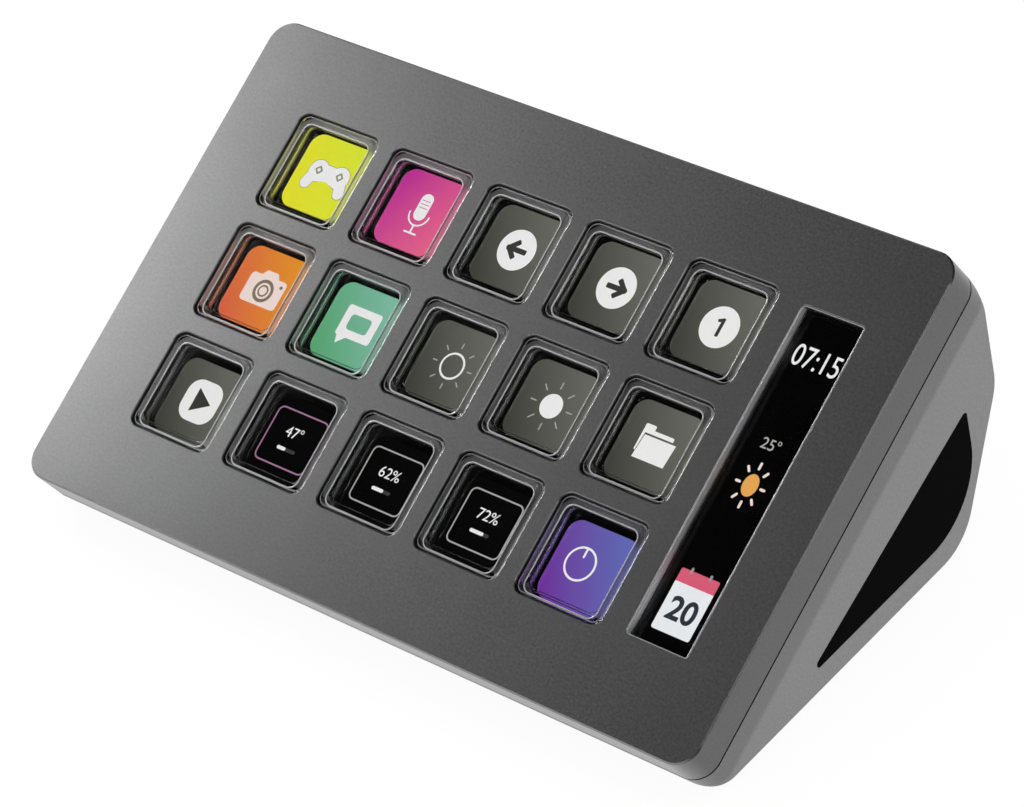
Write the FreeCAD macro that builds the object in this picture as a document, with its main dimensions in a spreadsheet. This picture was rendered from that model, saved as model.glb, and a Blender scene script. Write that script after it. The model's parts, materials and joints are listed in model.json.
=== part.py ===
import FreeCAD, Part
import math
import os
from types import SimpleNamespace

import Sketcher

# A wedge-shaped desk keypad with display keys.
#
# Two frames are used. The stand frame has x to the right, y from the front edge of the face towards
# the back, and z up from the underside. The deck frame has its origin at the centre of the face, x to
# the right, y up the slope of the face, and z out of the face, so everything behind the face has a
# negative z. The finished part rests on its feet, with its origin below the middle of its box.

KEY_COLUMNS = 5
KEY_ROWS = 3
LUGS_PER_SIDE = 3

# Driving dimensions in millimetres and degrees: alias, value, meaning.
DRIVING_SIZES = (
    # Keys and strip display in the face
    ("key_pitch", 19.5, "key to key, both ways"),
    ("key_opening", 16.3, "opening of one key in the face"),
    ("opening_corner_radius", 1.8, "corners of a key opening"),
    ("strip_gap", 4.65, "last key opening to the strip opening"),
    ("strip_width", 10.9, "strip opening"),
    ("strip_height", 53.2, "strip opening, along the slope"),
    ("strip_corner_radius", 0.5, "corners of the strip opening"),
    ("strip_lift", 0.15, "middle of the strip opening below the middle of the keys"),
    # Outer form of both shells
    ("left_margin", 13.85, "left edge of the face to the keys"),
    ("right_margin", 9.1, "strip opening to the right edge of the face"),
    ("top_margin", 13, "back edge of the face to the keys"),
    ("bottom_margin", 13.5, "keys to the front edge of the face"),
    ("face_tilt", 28, "slope of the face against the desk, degrees"),
    ("face_corner_radius", 4, "corners of the face"),
    ("face_edge_chamfer", 0.25, "broken edge round the face and its openings"),
    ("plate_thickness", 1.5, "face plate"),
    ("rim_depth", 5.95, "face to the lower edge of the front shell"),
    ("seam_gap", 0.35, "black joint line between the two shells"),
    ("crease_depth", 10, "face to the crease where the sides start to draw in"),
    ("side_draft", 0.6, "draw-in of each side below the crease, degrees"),
    ("wall", 2.4, "walls and floor of both shells"),
    ("front_height", 8.4, "underside to the front edge of the face"),
    ("back_undercut", 11.85, "back end of the underside in front of the upright back"),
    ("kink_height", 21.8, "underside to where the back turns upright"),
    ("front_bend_radius", 4.4, "front wall into the underside"),
    ("back_bend_radius", 9, "underside into the leaning back"),
    ("kink_bend_radius", 8, "leaning back into the upright back"),
    ("edge_radius", 0.4, "edges between the sides, the back and the underside"),
    ("rabbet_wall", 1.2, "rim left outside the tongue"),
    ("tongue_height", 2.4, "tongue of the back shell inside the rim"),
    ("fit_gap", 0.1, "slip clearance between fixed pieces"),
    ("overrun", 1, "how far cuts run past what they cut"),
    # Key caps
    ("key_gap", 0.15, "cap to its opening, all round"),
    ("key_sink", 0.35, "top of a cap below the face"),
    ("key_border", 1.2, "raised border round the dish of a cap"),
    ("key_edge_radius", 0.2, "outer top edge of a cap"),
    ("dish_depth", 0.6, "dish in the top of a cap"),
    ("dish_corner_radius", 1.5, "corners of the dish"),
    ("dish_chamfer", 0.15, "slope round the dish"),
    ("flange_overlap", 0.55, "flange of a cap past its opening"),
    ("flange_thickness", 0.5, "flange of a cap"),
    ("flange_gap", 0.05, "flange below the face plate at rest"),
    ("key_travel", 1, "stroke of a key"),
    ("press_gap", 0.1, "flange to the dome sheet with the key down"),
    ("plug_size", 13.8, "lens plug under a cap"),
    ("plug_corner_radius", 1.2, "corners of the lens plug"),
    ("plug_gap", 0.2, "lens plug to the display with the key down"),
    # Strip window, guide, sheet, contact board and display
    ("strip_recess", 0.9, "strip window below the face"),
    ("strip_flange", 0.8, "flange of the strip window past its opening"),
    ("strip_flange_thickness", 0.9, "flange of the strip window"),
    ("guide_gap", 0.15, "flanges to the ribs of the guide"),
    ("window_gap", 0.3, "lens plug to the windows of sheet and board"),
    ("sheet_thickness", 0.3, "dome sheet"),
    ("contact_board_thickness", 0.5, "contact board"),
    ("panel_side_margin", 1.55, "display panel past the keys and the strip, left and right"),
    ("panel_end_margin", 5.1, "display panel past the keys, front and back"),
    ("panel_gap", 0.2, "display panel to the tray wall"),
    ("glass_thickness", 1.1, "display glass"),
    ("backlight_thickness", 1.5, "light unit behind the glass"),
    # Tray and what holds the shells together
    ("tray_wall", 1.2, "wall of the display tray"),
    ("tray_floor", 1.2, "floor of the display tray"),
    ("tray_corner_radius", 1.4, "corners of the tray and of what lies on it"),
    ("lug_width", 5.6, "screw lugs of the tray"),
    ("lug_thickness", 1.6, "screw lugs of the tray"),
    ("lug_spacing", 44, "screw lug to screw lug"),
    ("boss_diameter", 3, "screw bosses of the front shell"),
    ("boss_gap", 0.2, "screw bosses to the tray"),
    ("post_side_inset", 12, "tray posts from the tray's sides"),
    ("post_end_inset", 11, "tray posts from the tray's front and back"),
    ("post_diameter", 6, "tray posts"),
    ("post_length", 4, "tray posts below the tray"),
    ("tunnel_wall", 1.6, "wall of the screw tunnels"),
    ("tunnel_seat", 2, "seat under a screw head in its tunnel"),
    ("tray_screw_shank", 1.6, "screws of the tray"),
    ("tray_screw_length", 3.6, "screws of the tray, under the head"),
    ("shell_screw_shank", 2.5, "screws of the back shell"),
    ("shell_screw_length", 5.2, "screws of the back shell, under the head"),
    ("board_screw_shank", 2, "screws of the main board"),
    ("board_screw_length", 4, "screws of the main board, under the head"),
    ("screw_fit", 0.05, "screw to its hole, radial"),
    ("head_fit", 0.2, "screw head to its tunnel, radial"),
    ("pilot_spare", 0.5, "pilot hole past the end of its screw"),
    # Main board, socket and port
    ("board_width", 76, "main board, left to right"),
    ("board_depth", 34, "main board, front to back"),
    ("board_thickness", 1.6, "main board"),
    ("board_corner_radius", 1, "corners of the main board"),
    ("board_boss_height", 3.3, "bosses of the main board above the floor"),
    ("board_boss_diameter", 5, "bosses of the main board"),
    ("board_hole_inset", 4, "board screws from the board's edges"),
    ("usb_width", 8.94, "socket"),
    ("usb_height", 3.2, "socket"),
    ("usb_depth", 7.3, "socket"),
    ("usb_corner_radius", 1.4, "corners of the socket"),
    ("usb_shell", 0.3, "sheet metal of the socket"),
    ("usb_back_wall", 1, "closed end of the socket"),
    ("usb_tongue_width", 6.6, "contact tongue in the socket"),
    ("usb_tongue_height", 0.7, "contact tongue in the socket"),
    ("usb_tongue_setback", 0.8, "contact tongue behind the mouth of the socket"),
    ("usb_overhang", 3.2, "socket past the main board"),
    ("usb_gap", 0.25, "socket to its slot"),
    ("port_recess", 3, "floor of the port recess behind the leaning back"),
    ("port_width", 12.4, "port recess"),
    ("port_height", 7, "port recess"),
    ("port_corner_radius", 1.5, "corners of the port recess"),
    ("port_floor", 1.5, "floor of the port recess"),
    ("port_cheek", 2, "walls round the port recess"),
    # Feet and side panels
    ("foot_width", 20, "rubber foot"),
    ("foot_depth", 8, "rubber foot"),
    ("foot_corner_radius", 2.5, "corners of a rubber foot"),
    ("foot_thickness", 1.6, "rubber foot"),
    ("foot_recess", 0.8, "pocket of a rubber foot"),
    ("foot_chamfer", 0.3, "lower edge of a rubber foot"),
    ("foot_side_inset", 18.4, "middle of a foot from the side of the face"),
    ("front_foot_inset", 13.6, "middle of the front feet behind the front edge"),
    ("back_foot_inset", 12.4, "middle of the back feet in front of the end of the underside"),
    ("inset_back_gap", 7.35, "side panel in front of the upright back"),
    ("inset_length", 41.9, "side panel, front to back"),
    ("inset_bottom", 4.1, "underside to the side panel"),
    ("inset_rise", 18.5, "side panel, lower edge to upper tip"),
    ("inset_bend_radius", 12, "lower back corner of the side panel"),
    ("inset_tip_radius", 0.7, "tips of the side panel"),
    ("side_panel_thickness", 1.4, "side panel"),
    # Ribbons, connectors and chips
    ("ribbon_thickness", 0.3, "ribbon cables"),
    ("ribbon_bend_radius", 0.9, "tight bends of the ribbon cables"),
    ("ribbon_sweep_radius", 3, "wide bends of the ribbon cables"),
    ("display_ribbon_width", 12, "ribbon of the display"),
    ("display_ribbon_slot", 1.5, "slot for it in the tray floor"),
    ("display_ribbon_drop", 4, "straight run of it behind the display"),
    ("display_ribbon_setback", 2, "where it leaves the display, in front of the middle"),
    ("contact_ribbon_width", 9, "ribbon of the contact board"),
    ("contact_connector_gap", 2.4, "connector of the contact board beside a board screw"),
    ("contact_ribbon_reach", 1.2, "its first run past the contact board"),
    ("contact_ribbon_drop", 4.6, "its run down beside the tray"),
    ("contact_ribbon_rise", 5, "its last run above its connector"),
    ("contact_connector_inset", 6, "its connector in front of the board's back edge"),
    ("connector_depth", 3.6, "ribbon connectors"),
    ("connector_height", 2, "ribbon connectors"),
    ("connector_cheek", 1.2, "ribbon connectors past their ribbon"),
    ("processor_size", 11, "processor chip, square"),
    ("processor_side", 21, "processor chip right of the middle"),
    ("processor_inset", 17, "processor chip in front of the board's back edge"),
    ("memory_width", 8, "memory chip"),
    ("memory_depth", 6, "memory chip"),
    ("memory_side", 9, "memory chip left of the middle"),
    ("memory_inset", 12, "memory chip in front of the board's back edge"),
    ("chip_height", 1.1, "both chips"),
    ("chip_bevel", 0.25, "top edges of chips and connectors"),
)

# Screws are drawn from their shank: these are shares of its diameter.
HEAD_DIAMETER_SHARE = 1.9
HEAD_HEIGHT_SHARE = 0.6
SOCKET_RADIUS_SHARE = 0.45
SOCKET_DEPTH_SHARE = 0.35

# Two places closer than this, in millimetres, are one place.
SAME_PLACE = 1e-4


class Size:
    """A size held as the expression that gives it and as its present number."""

    def __init__(self, text, number):
        self.text = text
        self.number = number

    @staticmethod
    def of(value):
        return value if isinstance(value, Size) else Size(repr(value), value)

    def join(self, sign, other, number):
        return Size(f"({self.text} {sign} {other.text})", number)

    def __add__(self, other):
        return self.join("+", other, self.number + other.number)

    def __sub__(self, other):
        return self.join("-", other, self.number - other.number)

    def __mul__(self, other):
        other = Size.of(other)
        return self.join("*", other, self.number * other.number)

    def __truediv__(self, other):
        other = Size.of(other)
        return self.join("/", other, self.number / other.number)

    def __rmul__(self, other):
        return Size.of(other) * self

    def __neg__(self):
        return Size(f"(0 - {self.text})", -self.number)


ZERO = Size("0", 0.0)


def sine(angle):
    return Size(f"sin({angle.text})", math.sin(math.radians(angle.number)))


def cosine(angle):
    return Size(f"cos({angle.text})", math.cos(math.radians(angle.number)))


document = FreeCAD.newDocument("display_keypad")
sheet = document.addObject("Spreadsheet::Sheet", "Sizes")
size = SimpleNamespace()
for row, (alias, value, meaning) in enumerate(DRIVING_SIZES, start=1):
    sheet.set(f"A{row}", meaning)
    sheet.set(f"B{row}", str(value))
    sheet.setAlias(f"B{row}", alias)
    setattr(size, alias, Size(f"Sizes.{alias}", float(value)))
document.recompute()
sub_parts = []

# The face, and the places of the keys and the strip on it

keys_width = (KEY_COLUMNS - 1) * size.key_pitch + size.key_opening
keys_height = (KEY_ROWS - 1) * size.key_pitch + size.key_opening
face_width = size.left_margin + keys_width + size.strip_gap + size.strip_width + size.right_margin
face_height = size.top_margin + keys_height + size.bottom_margin
half_width = face_width / 2
half_height = face_height / 2
first_key_x = size.left_margin + size.key_opening / 2 - half_width
first_key_y = half_height - size.top_margin - size.key_opening / 2
keys_y = half_height - size.top_margin - keys_height / 2
strip_x = half_width - size.right_margin - size.strip_width / 2
strip_y = keys_y - size.strip_lift

# The wedge

slope_sine = sine(size.face_tilt)
slope_cosine = cosine(size.face_tilt)
seam_depth = size.rim_depth + size.seam_gap
body_depth = face_height * slope_cosine + seam_depth * slope_sine
underside_length = body_depth - size.back_undercut
foot_proud = size.foot_thickness - size.foot_recess
tongue_top = size.tongue_height - seam_depth

# Levels of what lies behind the face, from the face downwards

key_top = -size.key_sink
flange_top = -(size.plate_thickness + size.flange_gap)
flange_bottom = flange_top - size.flange_thickness
sheet_top = flange_bottom - size.key_travel - size.press_gap
contact_board_top = sheet_top - size.sheet_thickness
glass_top = contact_board_top - size.contact_board_thickness
backlight_top = glass_top - size.glass_thickness
tray_floor_top = backlight_top - size.backlight_thickness
tray_bottom = tray_floor_top - size.tray_floor
post_end = tray_bottom - size.post_length
tunnel_shoulder = post_end - size.tunnel_seat
plug_end = glass_top + size.plug_gap + size.key_travel
lug_bottom = glass_top - size.lug_thickness

# The display and its tray

panel_width = keys_width + size.strip_gap + size.strip_width + 2 * size.panel_side_margin
panel_height = keys_height + 2 * size.panel_end_margin
panel_x = (size.left_margin - size.right_margin) / 2
panel_y = keys_y
tray_rim = size.panel_gap + size.tray_wall
tray_width = panel_width + 2 * tray_rim
tray_height = panel_height + 2 * tray_rim
lug_reach = size.boss_gap + size.boss_diameter
post_x = tray_width / 2 - size.post_side_inset
post_y = tray_height / 2 - size.post_end_inset

# The main board and the port

board_bottom = size.wall + size.board_boss_height
board_top = board_bottom + size.board_thickness
port_up = board_top + size.usb_height / 2
port_plane = underside_length + size.back_undercut * port_up / size.kink_height - size.port_recess
board_back = port_plane - size.usb_overhang
board_middle = board_back - size.board_depth / 2

# Places that repeat

lug_places = [
    (panel_x + (column - (LUGS_PER_SIDE - 1) / 2) * size.lug_spacing,
     panel_y + end * (tray_height / 2 + lug_reach - size.boss_diameter / 2))
    for end in (-1, 1) for column in range(LUGS_PER_SIDE)]
post_places = [(across * post_x, panel_y + along * post_y) for along in (-1, 1) for across in (-1, 1)]
board_hole_places = [
    (across * (size.board_width / 2 - size.board_hole_inset),
     board_middle + along * (size.board_depth / 2 - size.board_hole_inset))
    for along in (-1, 1) for across in (-1, 1)]
foot_places = {
    "foot_front_left": (size.foot_side_inset - half_width, size.front_foot_inset),
    "foot_front_right": (half_width - size.foot_side_inset, size.front_foot_inset),
    "foot_back_left": (size.foot_side_inset - half_width, underside_length - size.back_foot_inset),
    "foot_back_right": (half_width - size.foot_side_inset, underside_length - size.back_foot_inset),
}


def deck_place(back, up):
    """The deck's y and z of a point given in the stand frame."""
    rise = up - size.front_height
    y = back * slope_cosine + rise * slope_sine - half_height
    z = rise * slope_cosine - back * slope_sine
    return y, z


def stand_place(y, z):
    """The stand's y and z of a point given in the deck frame."""
    along = y + half_height
    back = along * slope_cosine - z * slope_sine
    up = along * slope_sine + z * slope_cosine + size.front_height
    return back, up


def place(piece, x, back, up, angle=None):
    """Put a piece at a point of the stand frame, turned about x where an angle is given."""
    if angle is not None:
        piece.Placement = FreeCAD.Placement(
            FreeCAD.Vector(), FreeCAD.Rotation(FreeCAD.Vector(1, 0, 0), angle.number))
        piece.setExpression("Placement.Rotation.Angle", angle.text)
    piece.setExpression("Placement.Base.x", x.text)
    piece.setExpression("Placement.Base.y", (back - body_depth / 2).text)
    piece.setExpression("Placement.Base.z", (up + foot_proud).text)


def finish_on_deck(piece, name, x=ZERO, y=ZERO):
    """Name a piece that is modelled in the deck frame, and move it along the face."""
    back, up = stand_place(y, ZERO)
    place(piece, x, back, up, size.face_tilt)
    piece.Label = name
    sub_parts.append(piece)


def finish_on_stand(piece, name, x=ZERO, back=ZERO, up=ZERO):
    """Name a piece that is modelled upright, and move it over the stand frame."""
    place(piece, x, back, up)
    piece.Label = name
    sub_parts.append(piece)


# Sketches

def origin_feature(body, role):
    return next(feature for feature in body.Origin.OriginFeatures if feature.Role == role)


def new_sketch(body, name, level=ZERO, role="XY_Plane"):
    """A sketch on one of the body's own planes, lifted off it to a level."""
    sketch = body.newObject("Sketcher::SketchObject", f"{body.Name}_{name}")
    sketch.AttachmentSupport = [(origin_feature(body, role), "")]
    sketch.MapMode = "FlatFace"
    sketch.setExpression("AttachmentOffset.Base.z", level.text)
    return sketch


def turned_sketch(body, name, role, angle, above, out):
    """A sketch turned about its own x axis and moved over the plane it is attached to."""
    sketch = new_sketch(body, name, out, role)
    sketch.AttachmentOffset = FreeCAD.Placement(
        FreeCAD.Vector(), FreeCAD.Rotation(FreeCAD.Vector(1, 0, 0), angle.number))
    sketch.setExpression("AttachmentOffset.Rotation.Angle", angle.text)
    sketch.setExpression("AttachmentOffset.Base.y", above.text)
    sketch.setExpression("AttachmentOffset.Base.z", out.text)
    return sketch


def level_sketch(body, name, up):
    """A sketch parallel to the desk on a deck body: x to the right, y towards the back."""
    y, z = deck_place(ZERO, up)
    return turned_sketch(body, name, "XY_Plane", -size.face_tilt, y, z)


def upright_sketch(body, name, back):
    """A sketch facing the front on a deck body: x to the right, y up from the underside."""
    y, z = deck_place(back, ZERO)
    return turned_sketch(body, name, "XZ_Plane", -size.face_tilt, z, -y)


def side_sketch(body, name, side, inset=ZERO):
    """A sketch on a drawn-in side: x up the slope, y zero at the crease, side 1 is the right."""
    return turned_sketch(
        body, name, "YZ_Plane", side * size.side_draft, -size.crease_depth,
        side * (half_width - inset))


def side_corner(back, up):
    """A point of the stand frame on the sketch of a drawn-in side."""
    y, z = deck_place(back, up)
    return y, (z + size.crease_depth) / cosine(size.side_draft)


def bind(sketch, constraint, value):
    index = sketch.addConstraint(constraint)
    sketch.setExpression(f"Constraints[{index}]", value.text)


def crossing(line_a, line_b):
    """Where two lines cross, each given as a point and a direction."""
    (ax, ay), (adx, ady) = line_a
    (bx, by), (bdx, bdy) = line_b
    reach = ((bx - ax) * bdy - (by - ay) * bdx) / (adx * bdy - ady * bdx)
    return ax + reach * adx, ay + reach * ady


def corner_arc(corner, before, after, radius):
    """The arc that rounds a corner: its start, its end, the arc, and which end of it comes first."""
    (bdx, bdy), (adx, ady) = before[1], after[1]
    turn = math.atan2(bdx * ady - bdy * adx, bdx * adx + bdy * ady)
    reach = radius * math.tan(abs(turn) / 2)
    start = corner[0] - bdx * reach, corner[1] - bdy * reach
    end = corner[0] + adx * reach, corner[1] + ady * reach
    left = math.copysign(radius, turn)
    centre = FreeCAD.Vector(start[0] - bdy * left, start[1] + bdx * left, 0)
    first = math.atan2(start[1] - centre.y, start[0] - centre.x)
    full = Part.Circle(centre, FreeCAD.Vector(0, 0, 1), radius)
    if turn > 0:
        return start, end, Part.ArcOfCircle(full, first, first + turn), (1, 2)
    return start, end, Part.ArcOfCircle(full, first + turn, first), (2, 1)


def trace(sketch, corners, radii=None, insets=None, closed=True):
    """Lines through the corners, anticlockwise where they close.

    radii rounds single corners. insets moves the line that starts at each corner inwards, and a
    negative one moves it outwards.
    """
    count = len(corners)
    line_count = count if closed else count - 1
    radii = radii or [None] * count
    insets = insets or [ZERO] * line_count
    marks = [(x.number, y.number) for x, y in corners]
    lines = []
    for k in range(line_count):
        (ax, ay), (bx, by) = marks[k], marks[(k + 1) % count]
        span = math.hypot(bx - ax, by - ay)
        dx, dy = (bx - ax) / span, (by - ay) / span
        shift = insets[k].number
        lines.append(((ax - dy * shift, ay + dx * shift), (dx, dy)))
    turns = range(count) if closed else range(1, count - 1)
    ends = {k: (marks[k], marks[k], None, None) for k in range(count)}
    for k in turns:
        corner = crossing(lines[k - 1], lines[k])
        ends[k] = (corner, corner, None, None)
        if radii[k] is not None:
            ends[k] = corner_arc(corner, lines[k - 1], lines[k], radii[k].number)
    first_line = sketch.GeometryCount
    for k in range(line_count):
        start, end = ends[k][1], ends[(k + 1) % count][0]
        line = Part.LineSegment(FreeCAD.Vector(*start, 0), FreeCAD.Vector(*end, 0))
        sketch.addGeometry(line, False)
    for k, (x, y) in enumerate(corners):
        mark = sketch.addGeometry(Part.Point(FreeCAD.Vector(x.number, y.number, 0)), True)
        bind(sketch, Sketcher.Constraint("DistanceX", -1, 1, mark, 1, x.number), x)
        bind(sketch, Sketcher.Constraint("DistanceY", -1, 1, mark, 1, y.number), y)
        if k not in turns:
            line, end = (first_line, 1) if k == 0 else (first_line + k - 1, 2)
            sketch.addConstraint(Sketcher.Constraint("Coincident", mark, 1, line, end))
            continue
        before, after = first_line + (k - 1) % line_count, first_line + k
        for line, inset in ((before, insets[k - 1]), (after, insets[k])):
            if inset is ZERO:
                sketch.addConstraint(Sketcher.Constraint("PointOnObject", mark, 1, line))
            else:
                gap = inset if inset.number > 0 else -inset
                bind(sketch, Sketcher.Constraint("Distance", mark, 1, line, gap.number), gap)
        arc_shape, arc_ends = ends[k][2:]
        if arc_shape is None:
            sketch.addConstraint(Sketcher.Constraint("Coincident", before, 2, after, 1))
            continue
        arc = sketch.addGeometry(arc_shape, False)
        sketch.addConstraint(Sketcher.Constraint("Tangent", before, 2, arc, arc_ends[0]))
        sketch.addConstraint(Sketcher.Constraint("Tangent", arc, arc_ends[1], after, 1))
        bind(sketch, Sketcher.Constraint("Radius", arc, radii[k].number), radii[k])


def rectangle(sketch, width, height, radius=None, x=ZERO, y=ZERO):
    """A rectangle about (x, y), its corners rounded by radius."""
    left, right = x - width / 2, x + width / 2
    low, high = y - height / 2, y + height / 2
    trace(sketch, [(left, low), (right, low), (right, high), (left, high)], [radius] * 4)


def circle(sketch, diameter, x=ZERO, y=ZERO):
    centre = FreeCAD.Vector(x.number, y.number, 0)
    ring = Part.Circle(centre, FreeCAD.Vector(0, 0, 1), diameter.number / 2)
    index = sketch.addGeometry(ring, False)
    bind(sketch, Sketcher.Constraint("DistanceX", -1, 1, index, 3, x.number), x)
    bind(sketch, Sketcher.Constraint("DistanceY", -1, 1, index, 3, y.number), y)
    bind(sketch, Sketcher.Constraint("Diameter", index, diameter.number), diameter)


# Features

def new_body(name):
    return document.addObject("PartDesign::Body", name)


def pad(body, sketch, length, reverse=False, symmetric=False):
    """Grow a sketch along its normal, or against it if reverse."""
    feature = body.newObject("PartDesign::Pad", f"{sketch.Name}_pad")
    feature.Profile = sketch
    feature.SideType = "Symmetric" if symmetric else "One side"
    feature.Reversed = reverse
    feature.setExpression("Length", length.text)
    return feature


def pocket(body, sketch, depth=None, reverse=False):
    """Cut a sketch away against its normal, along it if reverse, and through all without a depth."""
    feature = body.newObject("PartDesign::Pocket", f"{sketch.Name}_pocket")
    feature.Profile = sketch
    feature.Reversed = reverse
    if depth is None:
        feature.Type = "ThroughAll"
    else:
        feature.setExpression("Length", depth.text)
    return feature


def key_pattern(body, feature):
    """Repeat a feature over all the key places."""
    pattern = body.newObject("PartDesign::MultiTransform", f"{feature.Name}_all")
    steps = []
    for axis, copies, reverse in (("X_Axis", KEY_COLUMNS, False), ("Y_Axis", KEY_ROWS, True)):
        step = body.newObject("PartDesign::LinearPattern", f"{feature.Name}_{axis}")
        step.Direction = (origin_feature(body, axis), [""])
        step.Reversed = reverse
        step.Mode = "Spacing"
        step.Occurrences = copies
        step.setExpression("Offset", size.key_pitch.text)
        steps.append(step)
    pattern.Originals = [feature]
    pattern.Transformations = steps
    body.Tip = pattern
    return pattern


def edges_at(feature, level, wanted=None):
    """Names of the edges that lie whole at one level, of those that are wanted."""
    document.recompute()
    names = []
    for k, edge in enumerate(feature.Shape.Edges, start=1):
        box = edge.BoundBox
        flat = abs(box.ZMin - level.number) < SAME_PLACE and abs(box.ZMax - level.number) < SAME_PLACE
        if flat and (wanted is None or wanted(edge)):
            names.append(f"Edge{k}")
    return names


def fillet(body, feature, edges, radius):
    rounded = body.newObject("PartDesign::Fillet", f"{feature.Name}_fillet")
    rounded.Base = (feature, edges)
    rounded.setExpression("Radius", radius.text)
    return rounded


def chamfer(body, feature, edges, width):
    sloped = body.newObject("PartDesign::Chamfer", f"{feature.Name}_chamfer")
    sloped.Base = (feature, edges)
    sloped.setExpression("Size", width.text)
    return sloped


# Front shell: the face plate, its short walls, and the screw bosses behind it

def make_front_shell():
    body = new_body("front_shell")
    face = new_sketch(body, "face")
    rectangle(face, face_width, face_height, size.face_corner_radius)
    pad(body, face, size.rim_depth, reverse=True)
    hollow = new_sketch(body, "hollow", -size.rim_depth)
    rectangle(
        hollow, face_width - 2 * size.wall, face_height - 2 * size.wall,
        size.face_corner_radius - size.wall)
    pocket(body, hollow, size.rim_depth - size.plate_thickness, reverse=True)
    rabbet = new_sketch(body, "rabbet", -size.rim_depth)
    rectangle(
        rabbet, face_width - 2 * size.rabbet_wall, face_height - 2 * size.rabbet_wall,
        size.face_corner_radius - size.rabbet_wall)
    pocket(body, rabbet, size.rim_depth + tongue_top + size.fit_gap, reverse=True)
    bosses = new_sketch(body, "bosses", -size.plate_thickness)
    for x, y in lug_places:
        circle(bosses, size.boss_diameter, x, y)
    pad(body, bosses, -glass_top - size.plate_thickness, reverse=True)
    pilots = new_sketch(body, "pilots", glass_top)
    for x, y in lug_places:
        circle(pilots, size.tray_screw_shank + 2 * size.screw_fit, x, y)
    pocket(body, pilots, -glass_top - size.plate_thickness, reverse=True)
    strip = new_sketch(body, "strip_opening")
    rectangle(strip, size.strip_width, size.strip_height, size.strip_corner_radius, strip_x, strip_y)
    pocket(body, strip)
    opening = new_sketch(body, "key_opening")
    rectangle(
        opening, size.key_opening, size.key_opening, size.opening_corner_radius,
        first_key_x, first_key_y)
    openings = key_pattern(body, pocket(body, opening))
    chamfer(body, openings, edges_at(openings, ZERO), size.face_edge_chamfer)
    finish_on_deck(body, "front_shell")


# Key caps: clear, dished on top, with a flange behind the face and a lens plug over the display

def make_key(name, x, y):
    cap_size = size.key_opening - 2 * size.key_gap
    flange_size = size.key_opening + 2 * size.flange_overlap
    dish_size = cap_size - 2 * (size.key_border + size.dish_chamfer)
    body = new_body(name)
    cap = new_sketch(body, "cap", flange_top)
    rectangle(cap, cap_size, cap_size, size.opening_corner_radius - size.key_gap)
    pad(body, cap, key_top - flange_top)
    flange = new_sketch(body, "flange", flange_top)
    rectangle(flange, flange_size, flange_size, size.opening_corner_radius + size.flange_overlap)
    pad(body, flange, size.flange_thickness, reverse=True)
    plug = new_sketch(body, "plug", flange_bottom)
    rectangle(plug, size.plug_size, size.plug_size, size.plug_corner_radius)
    pad(body, plug, flange_bottom - plug_end, reverse=True)
    dish = new_sketch(body, "dish", key_top)
    rectangle(dish, dish_size, dish_size, size.dish_corner_radius)
    dished = pocket(body, dish, size.dish_depth)

    def inside(edge):
        middle = edge.CenterOfMass
        return max(abs(middle.x), abs(middle.y)) < (cap_size / 2 - size.key_border / 2).number

    sloped = chamfer(body, dished, edges_at(dished, key_top, inside), size.dish_chamfer)

    def outside(edge):
        middle = edge.CenterOfMass
        return max(abs(middle.x), abs(middle.y)) > (cap_size / 2 - size.key_border / 2).number

    fillet(body, sloped, edges_at(sloped, key_top, outside), size.key_edge_radius)
    finish_on_deck(body, name, x, y)


def make_keys():
    for row in range(KEY_ROWS):
        for column in range(KEY_COLUMNS):
            make_key(
                f"key_r{row + 1}c{column + 1}",
                first_key_x + column * size.key_pitch,
                first_key_y - row * size.key_pitch)


# Strip window: a clear bar in its opening, clamped by a flange between the plate and the guide

def make_strip_window():
    body = new_body("strip_window")
    bar = new_sketch(body, "bar", -size.plate_thickness)
    rectangle(
        bar, size.strip_width - 2 * size.fit_gap, size.strip_height - 2 * size.fit_gap,
        size.strip_corner_radius)
    pad(body, bar, size.plate_thickness - size.strip_recess)
    flange = new_sketch(body, "flange", -size.plate_thickness)
    rectangle(
        flange, size.strip_width + 2 * size.strip_flange, size.strip_height + 2 * size.strip_flange,
        size.strip_corner_radius + size.strip_flange)
    pad(body, flange, size.strip_flange_thickness, reverse=True)
    finish_on_deck(body, "strip_window", strip_x, strip_y)


# Guide, dome sheet and contact board: flat pieces of one outline with a window for every key

def make_windowed_sheet(name, top, bottom, key_window, strip_grow):
    """A flat piece between two levels, with windows for the keys and the strip."""
    body = new_body(name)
    sheet_outline = new_sketch(body, "outline", top)
    rectangle(sheet_outline, tray_width, tray_height, size.tray_corner_radius, panel_x, panel_y)
    pad(body, sheet_outline, top - bottom, reverse=True)
    strip = new_sketch(body, "strip_window", top)
    rectangle(
        strip, size.strip_width + 2 * strip_grow, size.strip_height + 2 * strip_grow,
        size.strip_corner_radius, strip_x, strip_y)
    pocket(body, strip)
    window = new_sketch(body, "key_window", top)
    side, radius = key_window
    rectangle(window, side, side, radius, first_key_x, first_key_y)
    key_pattern(body, pocket(body, window))
    return body


def make_key_guide():
    grow = size.flange_overlap + size.guide_gap
    window = size.key_opening + 2 * grow, size.opening_corner_radius + grow
    body = make_windowed_sheet("key_guide", -size.plate_thickness, sheet_top, window, ZERO)
    seat = new_sketch(body, "strip_seat", -size.plate_thickness)
    seat_grow = size.strip_flange + size.guide_gap
    rectangle(
        seat, size.strip_width + 2 * seat_grow, size.strip_height + 2 * seat_grow,
        size.strip_corner_radius + seat_grow, strip_x, strip_y)
    pocket(body, seat, size.strip_flange_thickness)
    finish_on_deck(body, "key_guide")


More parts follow.
